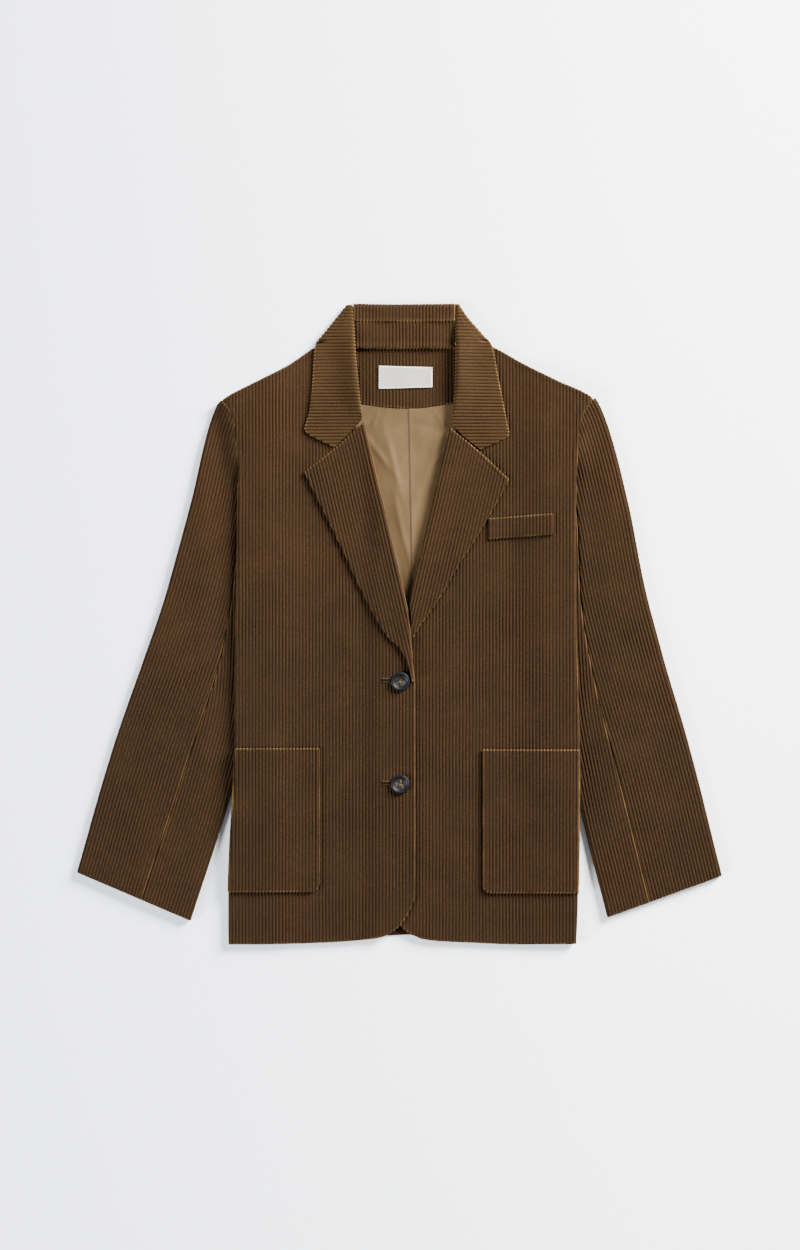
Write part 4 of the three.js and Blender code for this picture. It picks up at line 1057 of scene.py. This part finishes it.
def button(name, x, y, turn):
    """A four-hole button over the right front; returns how high its underside lies."""
    blank = turned_blank(name)
    holes = hole_cutter(turn)
    cut = blank.modifiers.new("holes", "BOOLEAN")
    cut.operation = "DIFFERENCE"
    cut.object = holes
    bevel = blank.modifiers.new("soft", "BEVEL")
    bevel.width = 0.22
    bevel.segments = 2
    bevel.limit_method = "ANGLE"
    bevel.angle_limit = math.radians(40)
    baked = bpy.data.meshes.new_from_object(blank.evaluated_get(bpy.context.evaluated_depsgraph_get()))
    bpy.data.objects.remove(holes)
    bpy.data.objects.remove(blank)
    at = np.array([tuple(corner.co) for corner in baked.vertices])
    rise = front_height(x, y) + WALE_HEIGHT + BUTTON_LIFT
    points = at + np.array([x, y, rise])
    faces = [tuple(face.vertices) for face in baked.polygons]
    from_middle = np.hypot(at[:, 0], at[:, 1]) / BUTTON_RADIUS
    made = object_from(name + "_horn", points, faces, {"radius": from_middle})
    made.data.materials.append(button_material)
    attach(made, "root")
    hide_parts(name)
    return rise


def threads(name, paths, radius, material, sides=6):
    """Threads along paths of points in millimetres, as one mesh."""
    points, faces = [], []
    for path in paths:
        path = np.array(path, float)
        tangent = np.gradient(path, axis=0)
        tangent /= np.maximum(np.linalg.norm(tangent, axis=1, keepdims=True), 1e-9)
        side = np.cross(tangent, [0.0, 0.0, 1.0])
        upright = np.linalg.norm(side, axis=1) < 0.2
        side[upright] = np.cross(tangent[upright], [1.0, 0.0, 0.0])
        side /= np.linalg.norm(side, axis=1, keepdims=True)
        up = np.cross(side, tangent)
        base = len(points)
        from_end = np.minimum(np.arange(len(path)), np.arange(len(path))[::-1])
        reach = radius * np.minimum(1, 0.35 + from_end / 1.5)
        for i in range(len(path)):
            for k in range(sides):
                angle = 2 * math.pi * k / sides
                points.append(path[i] + reach[i] * (math.cos(angle) * side[i] + math.sin(angle) * up[i]))
        for i in range(len(path) - 1):
            for k in range(sides):
                a, b = base + i * sides + k, base + i * sides + (k + 1) % sides
                faces.append((a, b, b + sides, a + sides))
        faces.append(tuple(base + k for k in range(sides))[::-1])
        faces.append(tuple(base + (len(path) - 1) * sides + k for k in range(sides)))
    piece = object_from(name, points, faces)
    piece.data.materials.append(material)
    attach(piece, "root")


def arch(first, last, height, steps=7):
    """A stitch that goes down into the cloth at both ends."""
    part = np.linspace(0, 1, steps)[:, None]
    bow = np.array([0, 0, 1.0]) * height * np.sin(np.pi * part) ** 0.6
    return mix(np.array(first, float), np.array(last, float), part) + bow


for name, x, y, turn in BUTTONS:
    stitch_z = button(name, x, y, turn) + 0.9
    holes = [(x + hole_x, y + hole_y) for hole_x, hole_y in hole_places(turn)]
    paths = []
    for pair in ((0, 1), (3, 2)):
        for shift in (-0.35, 0, 0.35):
            first, last = ((holes[i][0], holes[i][1] + shift, stitch_z) for i in pair)
            paths.append(arch(first, last, 1.15 + 0.12 * shift))
    threads(name + "_thread", paths, 0.26, sewing_thread)


def over_front(x, y, above):
    """A point that far above the right front's grooves."""
    return [x, y, front_height(x, y) + above]


# The buttonholes' stitched edges and slits, at lower x than the buttons; each slit is a dark thread that
# stands for the painted shadow in the cut
for name, _, y, _ in BUTTONS:
    slit_y = y + BUTTONHOLE["above"]
    paths = []
    for k in range(BUTTONHOLE["stitches"]):
        at = BUTTONHOLE["left"] + k * BUTTONHOLE["step"]
        reach = 3.2 + 0.5 * math.sin(k * 2.3)
        for way in (-1, 1):
            paths.append([over_front(at, slit_y + way * 0.9, 1.35), over_front(at, slit_y + way * 1.5, 1.8),
                          over_front(at + 0.2 * way, slit_y + way * reach, 0.9)])
    threads(name + "_hole_edge", paths, 0.4, hole_thread)
    # Painted shadow: a near-black thread along the slit
    slit = []
    for k in range(BUTTONHOLE["slit_points"]):
        at = BUTTONHOLE["slit_left"] + k * BUTTONHOLE["slit_step"]
        slit.append(over_front(at, slit_y + 0.15 * math.sin(k), 1.9))
    threads(name + "_slit_shadow", [slit], 0.85, slit_shadow)

# Tacks that hold the label by its upper corners
tacks = []
for corner_x in (LABEL["left"] + 1.4, LABEL["right"] - 1.4):
    for k in range(4):
        at_y = LABEL["top"] + label_slant(corner_x) - 0.9 - 0.55 * k
        z = float(label_face(np.array(corner_x), np.array(at_y))[2]) + 0.05
        tacks.append(arch((corner_x - 1.6, at_y, z), (corner_x + 1.6, at_y + 0.1, z), 0.22, 5))
threads("label_tacks", tacks, 0.2, label_thread)


# Floor, light and camera

def pale_floor():
    material, tree, place = nodes_of("pale_floor")
    # Painted light: the floor grows paler from left to right, as the key light falls from the right
    across = node(tree, "SeparateXYZ", {"Vector": place}).outputs[0]
    colour = blend(tree, ramp(tree, across, -0.5, 0.3), srgb(216, 219, 230), srgb(248, 251, 255))
    return shaded(material, colour, 0.9, {"Specular IOR Level": 0.1})


bpy.ops.mesh.primitive_plane_add(size=12, location=(0, 0, -0.0002))
floor = bpy.context.object
floor.name = "floor"
floor.data.materials.append(pale_floor())


def area_light(name, place, size, watts, colour):
    """A square soft light that looks at the middle of the floor."""
    data = bpy.data.lights.new(name, "AREA")
    data.shape = "SQUARE"
    data.size = size
    data.energy = watts
    data.color = colour
    light = placed(name, data)
    light.location = place
    light.rotation_euler = (-Vector(place)).to_track_quat("-Z", "Y").to_euler()


area_light("key", (3.6, 2.9, 2.1), 2.1, 2650, (1.0, 0.985, 0.96))
area_light("fill", (-3.6, -1.4, 1.9), 1.8, 620, (0.97, 0.985, 1.0))
world = bpy.data.worlds.new("studio")
bpy.context.scene.world = world
world.use_nodes = True
sky = world.node_tree.nodes["Background"]
sky.inputs["Color"].default_value = (0.93, 0.95, 1.0, 1)
sky.inputs["Strength"].default_value = 0.32

lens = bpy.data.cameras.new("camera")
lens.sensor_fit = "VERTICAL"
lens.sensor_height = SENSOR
lens.lens = SENSOR * CAMERA_HEIGHT / FRAME_HEIGHT
lens.clip_end = 50
camera = placed("camera", lens)
camera.location = [value * MM for value in (*FRAME_CENTRE, CAMERA_HEIGHT)]
bpy.context.scene.camera = camera
